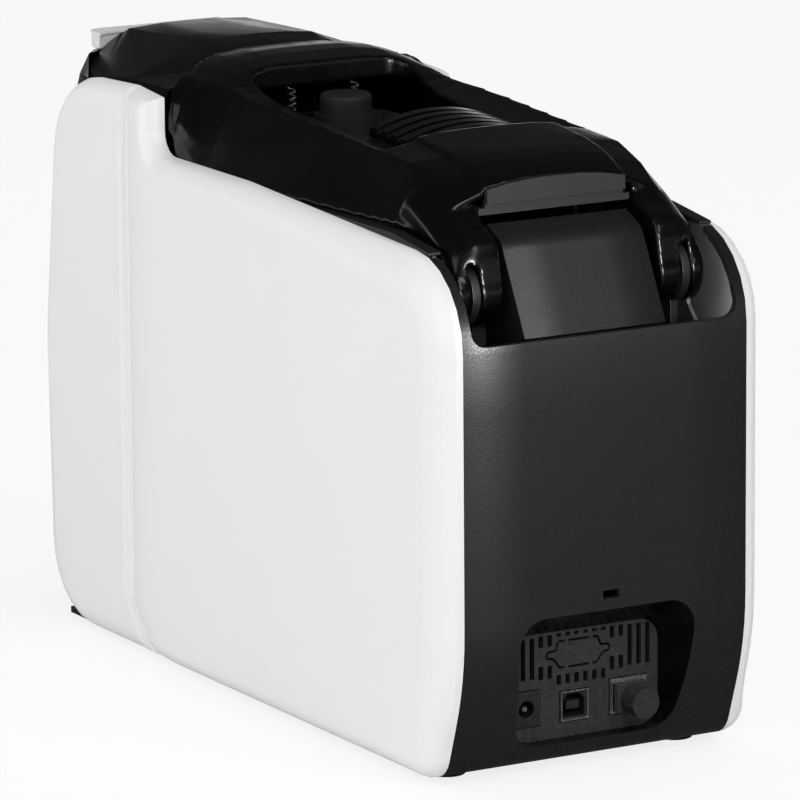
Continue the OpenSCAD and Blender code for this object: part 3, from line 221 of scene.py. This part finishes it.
def crown_height(tree, distance, start, end, turn_degrees):
    """The depth in metres of a surface that bends away by an angle between two places on an axis.

    The depth grows as a parabola, which ends twice as steep as its mean slope, hence the half.
    """
    reach = add(tree, "MapRange", {"Value": distance, "From Min": start * MM, "From Max": end * MM,
                                   "To Min": 0.0, "To Max": 1.0})
    fall = add(tree, "Math", {0: (reach, "Result"), 1: 2.0}, operation="POWER")
    depth = 0.5 * (end - start) * MM * math.tan(math.radians(turn_degrees))
    return add(tree, "Math", {0: (fall, "Value"), 1: depth}, operation="MULTIPLY")


def spark_eroded_abs(name, across, upward):
    """Pitted black on a surface that is crowned across, towards its sides, and upward, to its top."""
    material, tree, shader = finish(name, "232324", 0.4, IOR=1.5, Specular_IOR_Level=0.4)
    place = add(tree, "TexCoord")
    pits = add(tree, "TexNoise", {"Vector": (place, "Object"), "Scale": per_mm(0.8), "Detail": 2.0})
    peaks = add(tree, "MapRange", {"Value": (pits, "Fac"), "From Min": 0.5, "From Max": 0.72,
                                   "To Min": 0.0, "To Max": 1.0})
    tint = add(tree, "Mix", {0: (peaks, "Result"), MIX_A: linear("191919"), MIX_B: linear("282829")},
               data_type="RGBA")
    rough = add(tree, "MapRange", {"Value": (pits, "Fac"), "From Min": 0.4, "From Max": 0.66,
                                   "To Min": 0.46, "To Max": 0.34})
    axes = add(tree, "SeparateXYZ", {"Vector": (place, "Object")})
    away = add(tree, "Math", {0: (axes, "X")}, operation="ABSOLUTE")
    sides = crown_height(tree, (away, "Value"), *across)
    top = crown_height(tree, (axes, "Z"), *upward)
    depth = add(tree, "Math", {0: (sides, "Value"), 1: (top, "Value")}, operation="ADD")
    crown = add(tree, "Bump", {"Height": (depth, "Value"), "Distance": 1.0, "Strength": 1.0}, invert=True)
    relief = add(tree, "Bump", {"Height": (pits, "Fac"), "Distance": 0.07 * MM, "Strength": 0.6,
                                "Normal": (crown, "Normal")})
    wire_skin(tree, shader, tint, rough, relief)
    return material


PANEL_ACROSS, PANEL_UPWARD = (34, 62, 24), (140, 205, 16)
SHIELD_ACROSS, SHIELD_UPWARD = (12, 31, 16), (205, 240, 1)
looks["textured_black"] = spark_eroded_abs("spark_eroded_abs", PANEL_ACROSS, PANEL_UPWARD)
looks["shield_black"] = spark_eroded_abs("spark_eroded_shield", SHIELD_ACROSS, SHIELD_UPWARD)

# %% [markdown]
# Inner mouldings come from plainer moulds. The frame round the lid, the hinge bracket and the output
# tray are near black; the lid's liner, the buttons, the hopper and the spools are a dark grey that
# tells them apart. Their skin is a fine matte grain, drawn at 1.1 mm, that breaks every reflection.
# The same recipe does for the gears, which are pale acetal, and for the glazed ceramic of the print
# head: only the two colours that the grain runs between and the roughness differ.

# %% Matte mouldings


def matte_moulding(name, low, high, roughness):
    """A plain moulded skin whose colour runs between two hex values."""
    material, tree, shader = finish(name, low, roughness, IOR=1.5)
    place = add(tree, "TexCoord")
    skin = add(tree, "TexNoise", {"Vector": (place, "Object"), "Scale": per_mm(1.1), "Detail": 3.0})
    tint = add(tree, "Mix", {0: (skin, "Fac"), MIX_A: linear(low), MIX_B: linear(high)}, data_type="RGBA")
    rough = add(tree, "MapRange", {"Value": (skin, "Fac"), "From Min": 0.35, "From Max": 0.65,
                                   "To Min": roughness - 0.05, "To Max": roughness + 0.06})
    relief = add(tree, "Bump", {"Height": (skin, "Fac"), "Distance": 0.03 * MM, "Strength": 0.5})
    wire_skin(tree, shader, tint, rough, relief)
    return material


looks["matte_black"] = matte_moulding("matte_black_abs", "0E0E0F", "161617", 0.48)
looks["dark_grey"] = matte_moulding("dark_grey_abs", "171718", "1E1E1F", 0.6)
looks["gear_white"] = matte_moulding("acetal", "DDD9CC", "E8E5DA", 0.38)
looks["ceramic"] = matte_moulding("glazed_ceramic", "ADA595", "BDB6A7", 0.3)

# %% [markdown]
# The socket plate is steel with a baked powder coat, whose skin has the shallow pebbling called orange
# peel. Its pebbles are about 1.3 mm wide and only show where they bend a reflection. A noise with
# little detail gives such soft pebbles, where a detailed one would look like sand.

# %% Powder coat


def grey_powder_coat():
    material, tree, shader = finish("grey_powder_coat", "2A2A2B", 0.5, IOR=1.5)
    place = add(tree, "TexCoord")
    peel = add(tree, "TexNoise", {"Vector": (place, "Object"), "Scale": per_mm(1.3), "Detail": 1.0})
    tint = add(tree, "Mix", {0: (peel, "Fac"), MIX_A: linear("202021"), MIX_B: linear("2E2E30")},
               data_type="RGBA")
    rough = add(tree, "MapRange", {"Value": (peel, "Fac"), "From Min": 0.35, "From Max": 0.65,
                                   "To Min": 0.42, "To Max": 0.56})
    relief = add(tree, "Bump", {"Height": (peel, "Fac"), "Distance": 0.04 * MM, "Strength": 0.5})
    wire_skin(tree, shader, tint, rough, relief)
    return material


looks["plate_grey"] = grey_powder_coat()

# %% [markdown]
# Frames, shafts and screws are zinc-plated steel, the socket shells and the springs are nickel, and
# the motor's pinion is brass. All are drawn, rolled or turned, which leaves a fine grain along the
# part: the same noise as before, stretched along the grain. Metals keep the default IOR, and take
# their look from colour and roughness.

# %% Drawn metals


def drawn_metal(name, low, high, roughness, grain_mm, scales):
    """A metal with grain of a width in millimetres, which runs along the axis with the small scale."""
    material, tree, shader = finish(name, high, roughness, Metallic=1.0)
    place = add(tree, "TexCoord")
    drawn = add(tree, "Mapping", {"Vector": (place, "Object"), "Scale": scales})
    grain = add(tree, "TexNoise", {"Vector": (drawn, "Vector"), "Scale": per_mm(grain_mm), "Detail": 2.0})
    tint = add(tree, "Mix", {0: (grain, "Fac"), MIX_A: linear(low), MIX_B: linear(high)}, data_type="RGBA")
    rough = add(tree, "MapRange", {"Value": (grain, "Fac"), "From Min": 0.35, "From Max": 0.65,
                                   "To Min": roughness - 0.06, "To Max": roughness + 0.1})
    relief = add(tree, "Bump", {"Height": (grain, "Fac"), "Distance": 0.01 * MM, "Strength": 0.4})
    wire_skin(tree, shader, tint, rough, relief)
    return material


looks["steel"] = drawn_metal("zinc_plated_steel", "A4A5A8", "C6C7CA", 0.32, 0.7, scales=(0.06, 1, 1))
looks["nickel"] = drawn_metal("satin_nickel", "A9A69F", "CAC7C0", 0.26, 0.5, scales=(1, 1, 0.1))
looks["brass"] = drawn_metal("machined_brass", "B58A3C", "D9B566", 0.28, 0.6, scales=(0.06, 1, 1))

# %% [markdown]
# Rubber on the feet, the rollers and the dust plug is filled with carbon black. It is dark, has
# hardly any shine, and picks up pale dust in its pores. The dust could be a layer of its own, but one
# noise does it: only its highest values turn the colour paler, which leaves small scattered specks.

# %% Rubber


def carbon_black_rubber():
    material, tree, shader = finish("carbon_black_rubber", "151516", 0.62, IOR=1.52)
    place = add(tree, "TexCoord")
    pores = add(tree, "TexNoise", {"Vector": (place, "Object"), "Scale": per_mm(1.0), "Detail": 4.0})
    dust = add(tree, "MapRange", {"Value": (pores, "Fac"), "From Min": 0.5, "From Max": 0.75,
                                  "To Min": 0.0, "To Max": 1.0})
    tint = add(tree, "Mix", {0: (dust, "Result"), MIX_A: linear("131314"), MIX_B: linear("232324")},
               data_type="RGBA")
    rough = add(tree, "MapRange", {"Value": (pores, "Fac"), "From Min": 0.35, "From Max": 0.65,
                                   "To Min": 0.55, "To Max": 0.72})
    relief = add(tree, "Bump", {"Height": (pores, "Fac"), "Distance": 0.05 * MM, "Strength": 0.6})
    wire_skin(tree, shader, tint, rough, relief)
    return material


looks["rubber"] = carbon_black_rubber()

# %% [markdown]
# Three small finishes are left. Solder mask is a thin green lacquer over copper tracks, which show
# through as paler lines some millimetres apart: a brick pattern draws them without a picture. The
# light bar is milky acrylic, so light sinks in a few millimetres before it comes back. The display
# sits behind smoked glass with finger marks on it.
# Two pieces leave the finish of their slot. The hinge shield has a crown of its own, and the release
# button is a matte plunger in the middle of the polished lid.

# %% Board, acrylic and glass


def solder_mask():
    material, tree, shader = finish("solder_mask", "0E4420", 0.36, IOR=1.5)
    place = add(tree, "TexCoord")
    tracks = add(tree, "TexBrick", {"Vector": (place, "Object"), "Scale": per_mm(9), "Mortar Size": 0.045,
                                    "Color1": linear("0E4420"), "Color2": linear("104A24"),
                                    "Mortar": linear("1B6A37")})
    relief = add(tree, "Bump", {"Height": (tracks, "Fac"), "Distance": 0.03 * MM, "Strength": 0.4})
    wire(tree, shader, Base_Color=(tracks, "Color"), Normal=(relief, "Normal"))
    return material


def milky_acrylic():
    material, tree, shader = finish("milky_acrylic", "E6E8EA", 0.22, IOR=1.49, Subsurface_Weight=0.25,
                                    Subsurface_Radius=(0.004, 0.004, 0.004))
    place = add(tree, "TexCoord")
    haze = add(tree, "TexNoise", {"Vector": (place, "Object"), "Scale": per_mm(6), "Detail": 1.0})
    tint = add(tree, "Mix", {0: (haze, "Fac"), MIX_A: linear("E2E4E6"), MIX_B: linear("ECEEF0")},
               data_type="RGBA")
    rough = add(tree, "MapRange", {"Value": (haze, "Fac"), "From Min": 0.35, "From Max": 0.65,
                                   "To Min": 0.18, "To Max": 0.28})
    wire(tree, shader, Base_Color=(tint, MIX_COLOUR), Roughness=(rough, "Result"))
    return material


def smoked_glass():
    material, tree, shader = finish("smoked_glass", "060607", 0.08, IOR=1.52)
    place = add(tree, "TexCoord")
    smudges = add(tree, "TexNoise", {"Vector": (place, "Object"), "Scale": per_mm(8), "Detail": 3.0})
    rough = add(tree, "MapRange", {"Value": (smudges, "Fac"), "From Min": 0.35, "From Max": 0.65,
                                   "To Min": 0.04, "To Max": 0.14})
    wire(tree, shader, Roughness=(rough, "Result"))
    return material


looks["board"] = solder_mask()
looks["light_guide"] = milky_acrylic()
looks["display"] = smoked_glass()
for name, solid in nodes.items():
    solid.data.materials.clear()
    solid.data.materials.append(looks[slots[name]])
nodes["hinge_shield"].data.materials[0] = looks["shield_black"]
nodes["release_button"].data.materials[0] = looks["dark_grey"]
print("finishes:", len(looks), "on", len(nodes), "nodes")

# %% [markdown]
# Real mouldings have no sharp edges: a toolmaker breaks each one with a radius of a few tenths of a
# millimetre, and that radius draws the thin highlights round every opening. The solids come as loose
# triangles, so a copy is merged and its flat faces are joined before a bevel rounds the corners.
# The bevel only touches edges sharper than a limit, so the curved stretches stay as they are.
# Smooth shading alone would bend the light across the large flat faces. Weighted normals lean the
# direction at each point towards its larger faces, which keeps the flats flat.

# %% Helpers for soft edges
MERGE_MM = 0.002
FLAT_DEGREES = 0.3
SHARP_DEGREES = 35
SMOOTH_DEGREES = 32


def ramp(value, start, end):
    """0 before the start, 1 past the end and straight between them."""
    return min(1, max(0, (value - start) / (end - start)))


def pick(piece):
    """Selects one piece alone and makes it active."""
    bpy.ops.object.select_all(action="DESELECT")
    piece.select_set(True)
    bpy.context.view_layer.objects.active = piece


def join_flat_faces(piece):
    """Joins neighbouring faces that lie in one plane."""
    pick(piece)
    bpy.ops.object.mode_set(mode="EDIT")
    bpy.ops.mesh.select_all(action="SELECT")
    bpy.ops.mesh.dissolve_limited(angle_limit=math.radians(FLAT_DEGREES))
    bpy.ops.object.mode_set(mode="OBJECT")


def merged_copy(node_name, ending="_soft"):
    """A copy of a solid as one connected mesh."""
    piece = bpy.data.objects.new(node_name + ending, nodes[node_name].data.copy())
    bpy.context.collection.objects.link(piece)
    pick(piece)
    bpy.ops.object.mode_set(mode="EDIT")
    bpy.ops.mesh.select_all(action="SELECT")
    bpy.ops.mesh.remove_doubles(threshold=MERGE_MM * MM)
    bpy.ops.object.mode_set(mode="OBJECT")
    return piece


def flat_copy(node_name, ending="_soft"):
    """A merged copy with its flat faces joined."""
    piece = merged_copy(node_name, ending)
    join_flat_faces(piece)
    return piece


def apply(piece, kind, **settings):
    """Gives a piece one modifier and applies it."""
    pick(piece)
    modifier = piece.modifiers.new(kind.lower(), kind)
    for name, value in settings.items():
        setattr(modifier, name, value)
    bpy.ops.object.modifier_apply(modifier=modifier.name)


def stand_for(piece, node_name):
    """The piece takes the body of a solid, whose place and finish it already has as a copy, and the solid
    is hidden.
    """
    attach(piece, bodies[node_name])
    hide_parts(node_name)
    print(piece.name, len(piece.data.polygons), "faces")


def shade_flats(piece):
    """Shades a piece smoothly, with its large faces kept in their own direction."""
    pick(piece)
    bpy.ops.object.shade_smooth_by_angle(angle=math.radians(SMOOTH_DEGREES))
    apply(piece, "WEIGHTED_NORMAL", mode="FACE_AREA", weight=50, keep_sharp=True)


def soften(piece, node_name, radius_mm, edge_finish=-1):
    """Rounds the sharp edges of a copy, which stands for its solid. A finish of -1 is that of the faces."""
    apply(piece, "BEVEL", width=radius_mm * MM, segments=2, limit_method="ANGLE",
          angle_limit=math.radians(SHARP_DEGREES), use_clamp_overlap=True, material=edge_finish)
    shade_flats(piece)
    stand_for(piece, node_name)


print("edges sharper than", SHARP_DEGREES, "degrees get a radius")

# %% [markdown]
# The pieces that need nothing but soft edges are done in one loop. Large mouldings get a radius of
# about half a millimetre, small ones and the rim round the lid less, and the sheet metal of the plate
# and the sockets the least, because a bent sheet keeps a crisp edge.

# %% Small mouldings and sockets
edge_radius_mm = {
    "top_frame": 0.3, "light_ring": 0.6, "display_window": 0.3, "release_button": 0.5,
    "grip_insert": 0.35, "lid_liner": 0.35, "hinge_bracket": 0.3, "output_tray": 0.5,
    "input_door": 0.4, "feet": 0.5, "power_button": 0.3, "feed_button": 0.3,
    "stop_button": 0.3, "io_plate": 0.15, "dust_plug": 0.4, "power_jack": 0.3,
    "data_port_shell": 0.2, "network_port": 0.2}
for solid_name, radius in edge_radius_mm.items():
    soften(flat_copy(solid_name), solid_name, radius)

# %% [markdown]
# The rear panel has a deep recess round its sockets. The mould is polished there and along its edges,
# so every edge draws a thin bright line. The walls of the recess take the near black of the lid, darker
# than the pitted skin, which is partly their polish and partly painted shade in the recess.
# The walls could be separate pieces, but a real panel is moulded in one, so a second material does it:
# the faces in the recess are chosen by their place, and the bevel gives its own faces the same polish.
# The hinge shield, which slopes up between the lid's arms, has the same polished edges.

# %% Rear panel and hinge shield
PANEL_EDGE_MM = 0.5
# The second material's index: on the recess walls its darker colour is painted shade as well as polish, on
# the edges it is polish.
POLISH_AND_SHADE = 1
SHADED_RECESS_LOW = Vector((-39.5, 165.0, 9.0)) * MM
SHADED_RECESS_HIGH = Vector((38.0, 180.9, 63.0)) * MM
panel = flat_copy("rear_panel")
# The faces inside the box take the lid's gloss, whose darker colour paints shade into the recess.
panel.data.materials.append(looks["gloss_black"])
for face in panel.data.polygons:
    inside = all(SHADED_RECESS_LOW.x < panel.data.vertices[i].co.x < SHADED_RECESS_HIGH.x for i in face.vertices)
    if inside and all(low < c < high for low, c, high in zip(SHADED_RECESS_LOW, face.center, SHADED_RECESS_HIGH)):
        face.material_index = POLISH_AND_SHADE
shield = flat_copy("hinge_shield")
shield.data.materials.append(looks["gloss_black"])
soften(panel, "rear_panel", PANEL_EDGE_MM, edge_finish=POLISH_AND_SHADE)
soften(shield, "hinge_shield", PANEL_EDGE_MM, edge_finish=POLISH_AND_SHADE)

# %% [markdown]
# The cap ends behind in a slope that falls to the front edge of the lid. The slope starts at a straight
# crease across the crown, and fades out towards the shoulders, which keep their height. It could be
# cut with a wedge, but that would thin the shell, so the points behind the crease are lowered instead.
# The light bar lies under a milky ledge of the cap, so the ledge's level and upright faces take the
# acrylic too, and the sloped ones round them stay black.

# %% Front cap
CAP_EDGE_MM = 0.4
CREASE_Y = -78.5 * MM
CROWN_FROM_Z = 223 * MM
CROWN_HALF, SHOULDER_HALF = 24 * MM, 57 * MM
SLOPE = 8.6 / 34.1
LEDGE_LOW, LEDGE_HIGH = 236.15 * MM, 237.25 * MM
UPRIGHT, LEVEL = 0.05, 0.999
cap = merged_copy("front_cap")
for point in cap.data.vertices:
    if point.co.y > CREASE_Y and point.co.z > CROWN_FROM_Z:
        reach = ramp(abs(point.co.x), SHOULDER_HALF, CROWN_HALF)
        point.co.z -= SLOPE * (point.co.y - CREASE_Y) * reach
join_flat_faces(cap)
cap.data.materials.append(looks["light_guide"])
for face in cap.data.polygons:
    levels = [cap.data.vertices[i].co.z for i in face.vertices]
    on_ledge = LEDGE_LOW < min(levels) and max(levels) < LEDGE_HIGH
    if on_ledge and not UPRIGHT < abs(face.normal.z) < LEVEL:
        face.material_index = 1
soften(cap, "front_cap", CAP_EDGE_MM)

# %% [markdown]
# The bezel is the black front, and passes under the cap. Its upper corners are tucked down there,
# below the cap's shoulders, so that nothing of it shows above the cap's outline. They are points of
# an even rim, so they are chosen by their place and moved, where a cut would leave the rim open.

# %% Front bezel
TUCK_FROM_X, TUCK_FROM_Y, TUCK_FROM_Z = 44 * MM, -126 * MM, 229 * MM
TUCK_DOWN = 8 * MM
bezel = merged_copy("front_bezel")
for point in bezel.data.vertices:
    x, y, z = point.co
    if abs(x) > TUCK_FROM_X and y > TUCK_FROM_Y and z > TUCK_FROM_Z:
        point.co.z -= TUCK_DOWN
join_flat_faces(bezel)
soften(bezel, "front_bezel", CAP_EDGE_MM)

# %% [markdown]
# The side covers are long curved shells with a styled step. On the real moulding two fine beads run
# down in front of the step, and behind them the surface rises in a slow curve, where the solid has a
# plain chamfer. A sculpted copy would lose the crisp outline, so the copy is bisected along the lines
# of that section, and its points are then moved sideways by the difference between the two sections.
# A section is a list of (distance behind the step's line, height), in millimetres. The lines lean
# backwards below FLARE_Z, and the beads fade out at the top. Points nearer to the middle than
# SKIN_FROM_X stay, and those past SKIN_FULL_X move in full.

# %% Section of the step
STEP_Y, STEP_RUN, STEP_RISE = -66.0, 1.6, 3.0
FLARE_Z, FLARE_LEAN = 24.0, 0.744
BEADS_TOP, BEADS_FADE = 212.0, 14.0
SKIN_FROM_X, SKIN_FULL_X = 60.5, 66.0
CUT_MERGE_MM = 0.001
beads = [(-7.6, 0), (-6.4, 0.75), (-4.4, 0.3), (-2.6, 0), (-1.2, 0), (-0.1, 0.85), (1.6, 0.4), (3.6, 0)]
rise = [(3.6, 0), (4.8, 0.9), (7.2, 1.65), (10.6, 2.15), (14.6, 2.6), (19.6, 2.88), (26.0, 3.0)]


def along(section, distance):
    """The height of a section at a distance, straight between its points."""
    if distance <= section[0][0]:
        return section[0][1]
    for (d0, h0), (d1, h1) in zip(section, section[1:]):
        if distance <= d1:
            return h0 + (h1 - h0) * (distance - d0) / (d1 - d0)
    return section[-1][1]


def cut(piece, point, normal, chosen):
    """Bisects those faces of a piece whose centre height passes a test."""
    pick(piece)
    bpy.context.tool_settings.mesh_select_mode = (False, False, True)
    bpy.ops.object.mode_set(mode="EDIT")
    bpy.ops.mesh.select_all(action="DESELECT")
    bpy.ops.object.mode_set(mode="OBJECT")
    for face in piece.data.polygons:
        face.select = chosen(face.center.z)
    bpy.ops.object.mode_set(mode="EDIT")
    bpy.ops.mesh.bisect(plane_co=point, plane_no=normal, threshold=CUT_MERGE_MM * MM)
    bpy.ops.object.mode_set(mode="OBJECT")


def shape_step(piece):
    """Gives a side cover its beads and the slow rise behind them."""
    for z in (FLARE_Z, BEADS_TOP - BEADS_FADE, BEADS_TOP):
        cut(piece, (0, 0, z * MM), (0, 0, 1), lambda height: True)
    for distance, height in beads + rise[1:]:
        place = (0, (STEP_Y + distance) * MM, FLARE_Z * MM)
        cut(piece, place, (0, 1, 0), lambda height: height > FLARE_Z * MM)
        cut(piece, place, (0, 1, FLARE_LEAN), lambda height: height < FLARE_Z * MM)
    for point in piece.data.vertices:
        x, y, z = (c / MM for c in point.co)
        distance = y - STEP_Y - FLARE_LEAN * max(0, FLARE_Z - z)
        if not beads[0][0] < distance < rise[-1][0]:
            continue
        fade = ramp(z, BEADS_TOP, BEADS_TOP - BEADS_FADE)
        wanted = fade * along(beads, distance) + along(rise, distance)
        present = STEP_RISE * ramp(distance, 0, STEP_RUN)
        share = ramp(abs(x), SKIN_FROM_X, SKIN_FULL_X)
        point.co.x += math.copysign(1, x) * (wanted - present) * share * MM


print("lines of the section:", len(beads) + len(rise) - 1)

# %% [markdown]
# Both covers take the same section, mirrored by the sign of X. Their solids already have rounded
# edges, so they need no bevel, only the shading that keeps their long flat sides flat.

# %% Side covers
for solid_name in ("right_cover", "left_cover"):
    cover = flat_copy(solid_name)
    shape_step(cover)
    shade_flats(cover)
    stand_for(cover, solid_name)

# %% [markdown]
# The lid is one blown-up form: crests, a dish, a hood and two arms that grow out of it. A bevel would
# stumble over the many short edges where these meet. A voxel remesh turns all of them into one even
# skin of small quads, a little smoothing rounds every edge by the same few tenths, and the polish of
# the material can then run over it without a break.

# %% Lid
VOXEL_MM = 0.9
lid = flat_copy("lid", "_skin")
apply(lid, "REMESH", mode="VOXEL", voxel_size=VOXEL_MM * MM)
apply(lid, "SMOOTH", factor=0.5, iterations=4)
pick(lid)
bpy.ops.object.shade_smooth()
stand_for(lid, "lid")

# %% [markdown]
# A product studio is a white sweep with dark space above it and large soft lamps. The floor is white
# paper that keeps the object's shadow. Lit by lamps alone it would come out grey, and more lamps would
# bleach the object. So for the rays from the camera it is mostly a white glow, mixed with a little lit
# paper that carries the shadow. For mirror-like surfaces it is a dim grey, so polished black stays
# black, and all other surfaces see plain lit paper.

# %% Floor


def mirror_rays(tree, rays):
    """1 for the rays that mirror-like and clear surfaces send out, 0 for all others."""
    return add(tree, "Math", {0: (rays, "Is Glossy Ray"), 1: (rays, "Is Transmission Ray")},
               operation="MAXIMUM")


FLOOR_SIZE = 12
FLOOR_GLOW = 0.82
FLOOR_IN_GLOSS = 0.1
bpy.ops.object.select_all(action="DESELECT")
bpy.ops.mesh.primitive_plane_add(size=FLOOR_SIZE, location=(0, 0, 0))
floor = bpy.context.object
floor.name = "floor"
paper, tree, shader = finish("white_paper", "FFFFFF", 0.9)
rays = add(tree, "LightPath")
to_camera = add(tree, "Math", {0: (rays, "Is Camera Ray"), 1: FLOOR_GLOW}, operation="MULTIPLY")
to_gloss = mirror_rays(tree, rays)
share = add(tree, "Math", {0: (to_camera, "Value"), 1: (to_gloss, "Value")}, operation="MAXIMUM")
level_seen = add(tree, "MapRange", {"Value": (to_gloss, "Value"), "To Min": 1.0, "To Max": FLOOR_IN_GLOSS})
glow = add(tree, "Emission", {"Color": (1, 1, 1, 1), "Strength": (level_seen, "Result")})
mixed = add(tree, "MixShader", {0: (share, "Value"), 1: (shader, "BSDF"), 2: (glow, "Emission")})
tree.links.new(mixed.outputs["Shader"], tree.nodes["Material Output"].inputs["Surface"])
floor.data.materials.append(paper)
print("floor", floor.dimensions[:])

# %% [markdown]
# The world is the rest of the studio, and again depends on who looks. The camera sees pure white.
# Mirror-like surfaces see the sweep white near the horizon and the dim room overhead, so upright gloss
# catches some white and level gloss stays dark. All other surfaces get an even light.

# %% World
SWEEP_WHITE = 0.03
SWEEP_DARK = 0.16
ROOM_IN_GLOSS = 0.05
AMBIENT = 0.63
world = bpy.data.worlds.new("studio")
bpy.context.scene.world = world
world.use_nodes = True
tree = world.node_tree
tree.nodes.clear()
direction = add(tree, "TexCoord")
height = add(tree, "SeparateXYZ", {"Vector": (direction, "Generated")})
sweep = add(tree, "MapRange", {"Value": (height, "Z"), "From Min": SWEEP_WHITE, "From Max": SWEEP_DARK,
                               "To Min": 1.0, "To Max": ROOM_IN_GLOSS}, interpolation_type="SMOOTHSTEP")
rays = add(tree, "LightPath")
mirror = mirror_rays(tree, rays)
even = add(tree, "Background", {"Color": (1, 1, 1, 1), "Strength": AMBIENT})
in_gloss = add(tree, "Background", {"Color": (1, 1, 1, 1), "Strength": (sweep, "Result")})
to_eye = add(tree, "Background", {"Color": (1, 1, 1, 1), "Strength": 1.0})
lit = add(tree, "MixShader", {0: (mirror, "Value"), 1: (even, "Background"), 2: (in_gloss, "Background")})
seen = add(tree, "MixShader", {0: (rays, "Is Camera Ray"), 1: (lit, "Shader"), 2: (to_eye, "Background")})
add(tree, "OutputWorld", {"Surface": (seen, "Shader")})
print("world set, even light", AMBIENT)

# %% [markdown]
# Four lamps finish the studio. The large key lamp lights the long right side, and the weak fill lamp
# lifts its front end from low down. The rear lamp looks down on the back. The small haze lamp hangs
# near the rear panel and draws a soft glow in its pitted skin. It has a place of its own, because the
# others look at the middle of the object and this one looks past it. It gives no diffuse light and
# is hidden from the camera, so that the glow is all that it adds.

# %% Lamps


def soft_lamp(name, place, direction, size, power):
    """A rectangular area lamp at a place, turned so that its light comes from a direction.

    The size is in metres and the power in watts.
    """
    bpy.ops.object.light_add(type="AREA", location=place)
    lamp = bpy.context.object
    lamp.name = name
    lamp.data.shape = "RECTANGLE"
    lamp.data.size, lamp.data.size_y = size
    lamp.data.energy = power
    lamp.rotation_euler = direction.to_track_quat("Z", "Y").to_euler()
    print(name, "at", [round(v, 2) for v in lamp.location])
    return lamp


def aimed_lamp(name, azimuth, elevation, distance, size, power):
    """A soft lamp that looks at the middle of the object from a distance in metres."""
    direction = towards(azimuth, elevation)
    soft_lamp(name, AIM + direction * distance, direction, size, power)


aimed_lamp("key_lamp", 113, 20, 1.8, size=(1.2, 1.2), power=8.2)
aimed_lamp("fill_lamp", 60, 3, 2.2, size=(1.2, 0.8), power=4)
aimed_lamp("rear_lamp", 192, 36, 1.6, size=(0.5, 0.5), power=5)
HAZE_PLACE = (0.077, 0.528, 0.239)
haze_lamp = soft_lamp("haze_lamp", HAZE_PLACE, towards(174, 10), size=(0.08, 0.08), power=2.2)
haze_lamp.visible_diffuse = False
haze_lamp.visible_camera = False
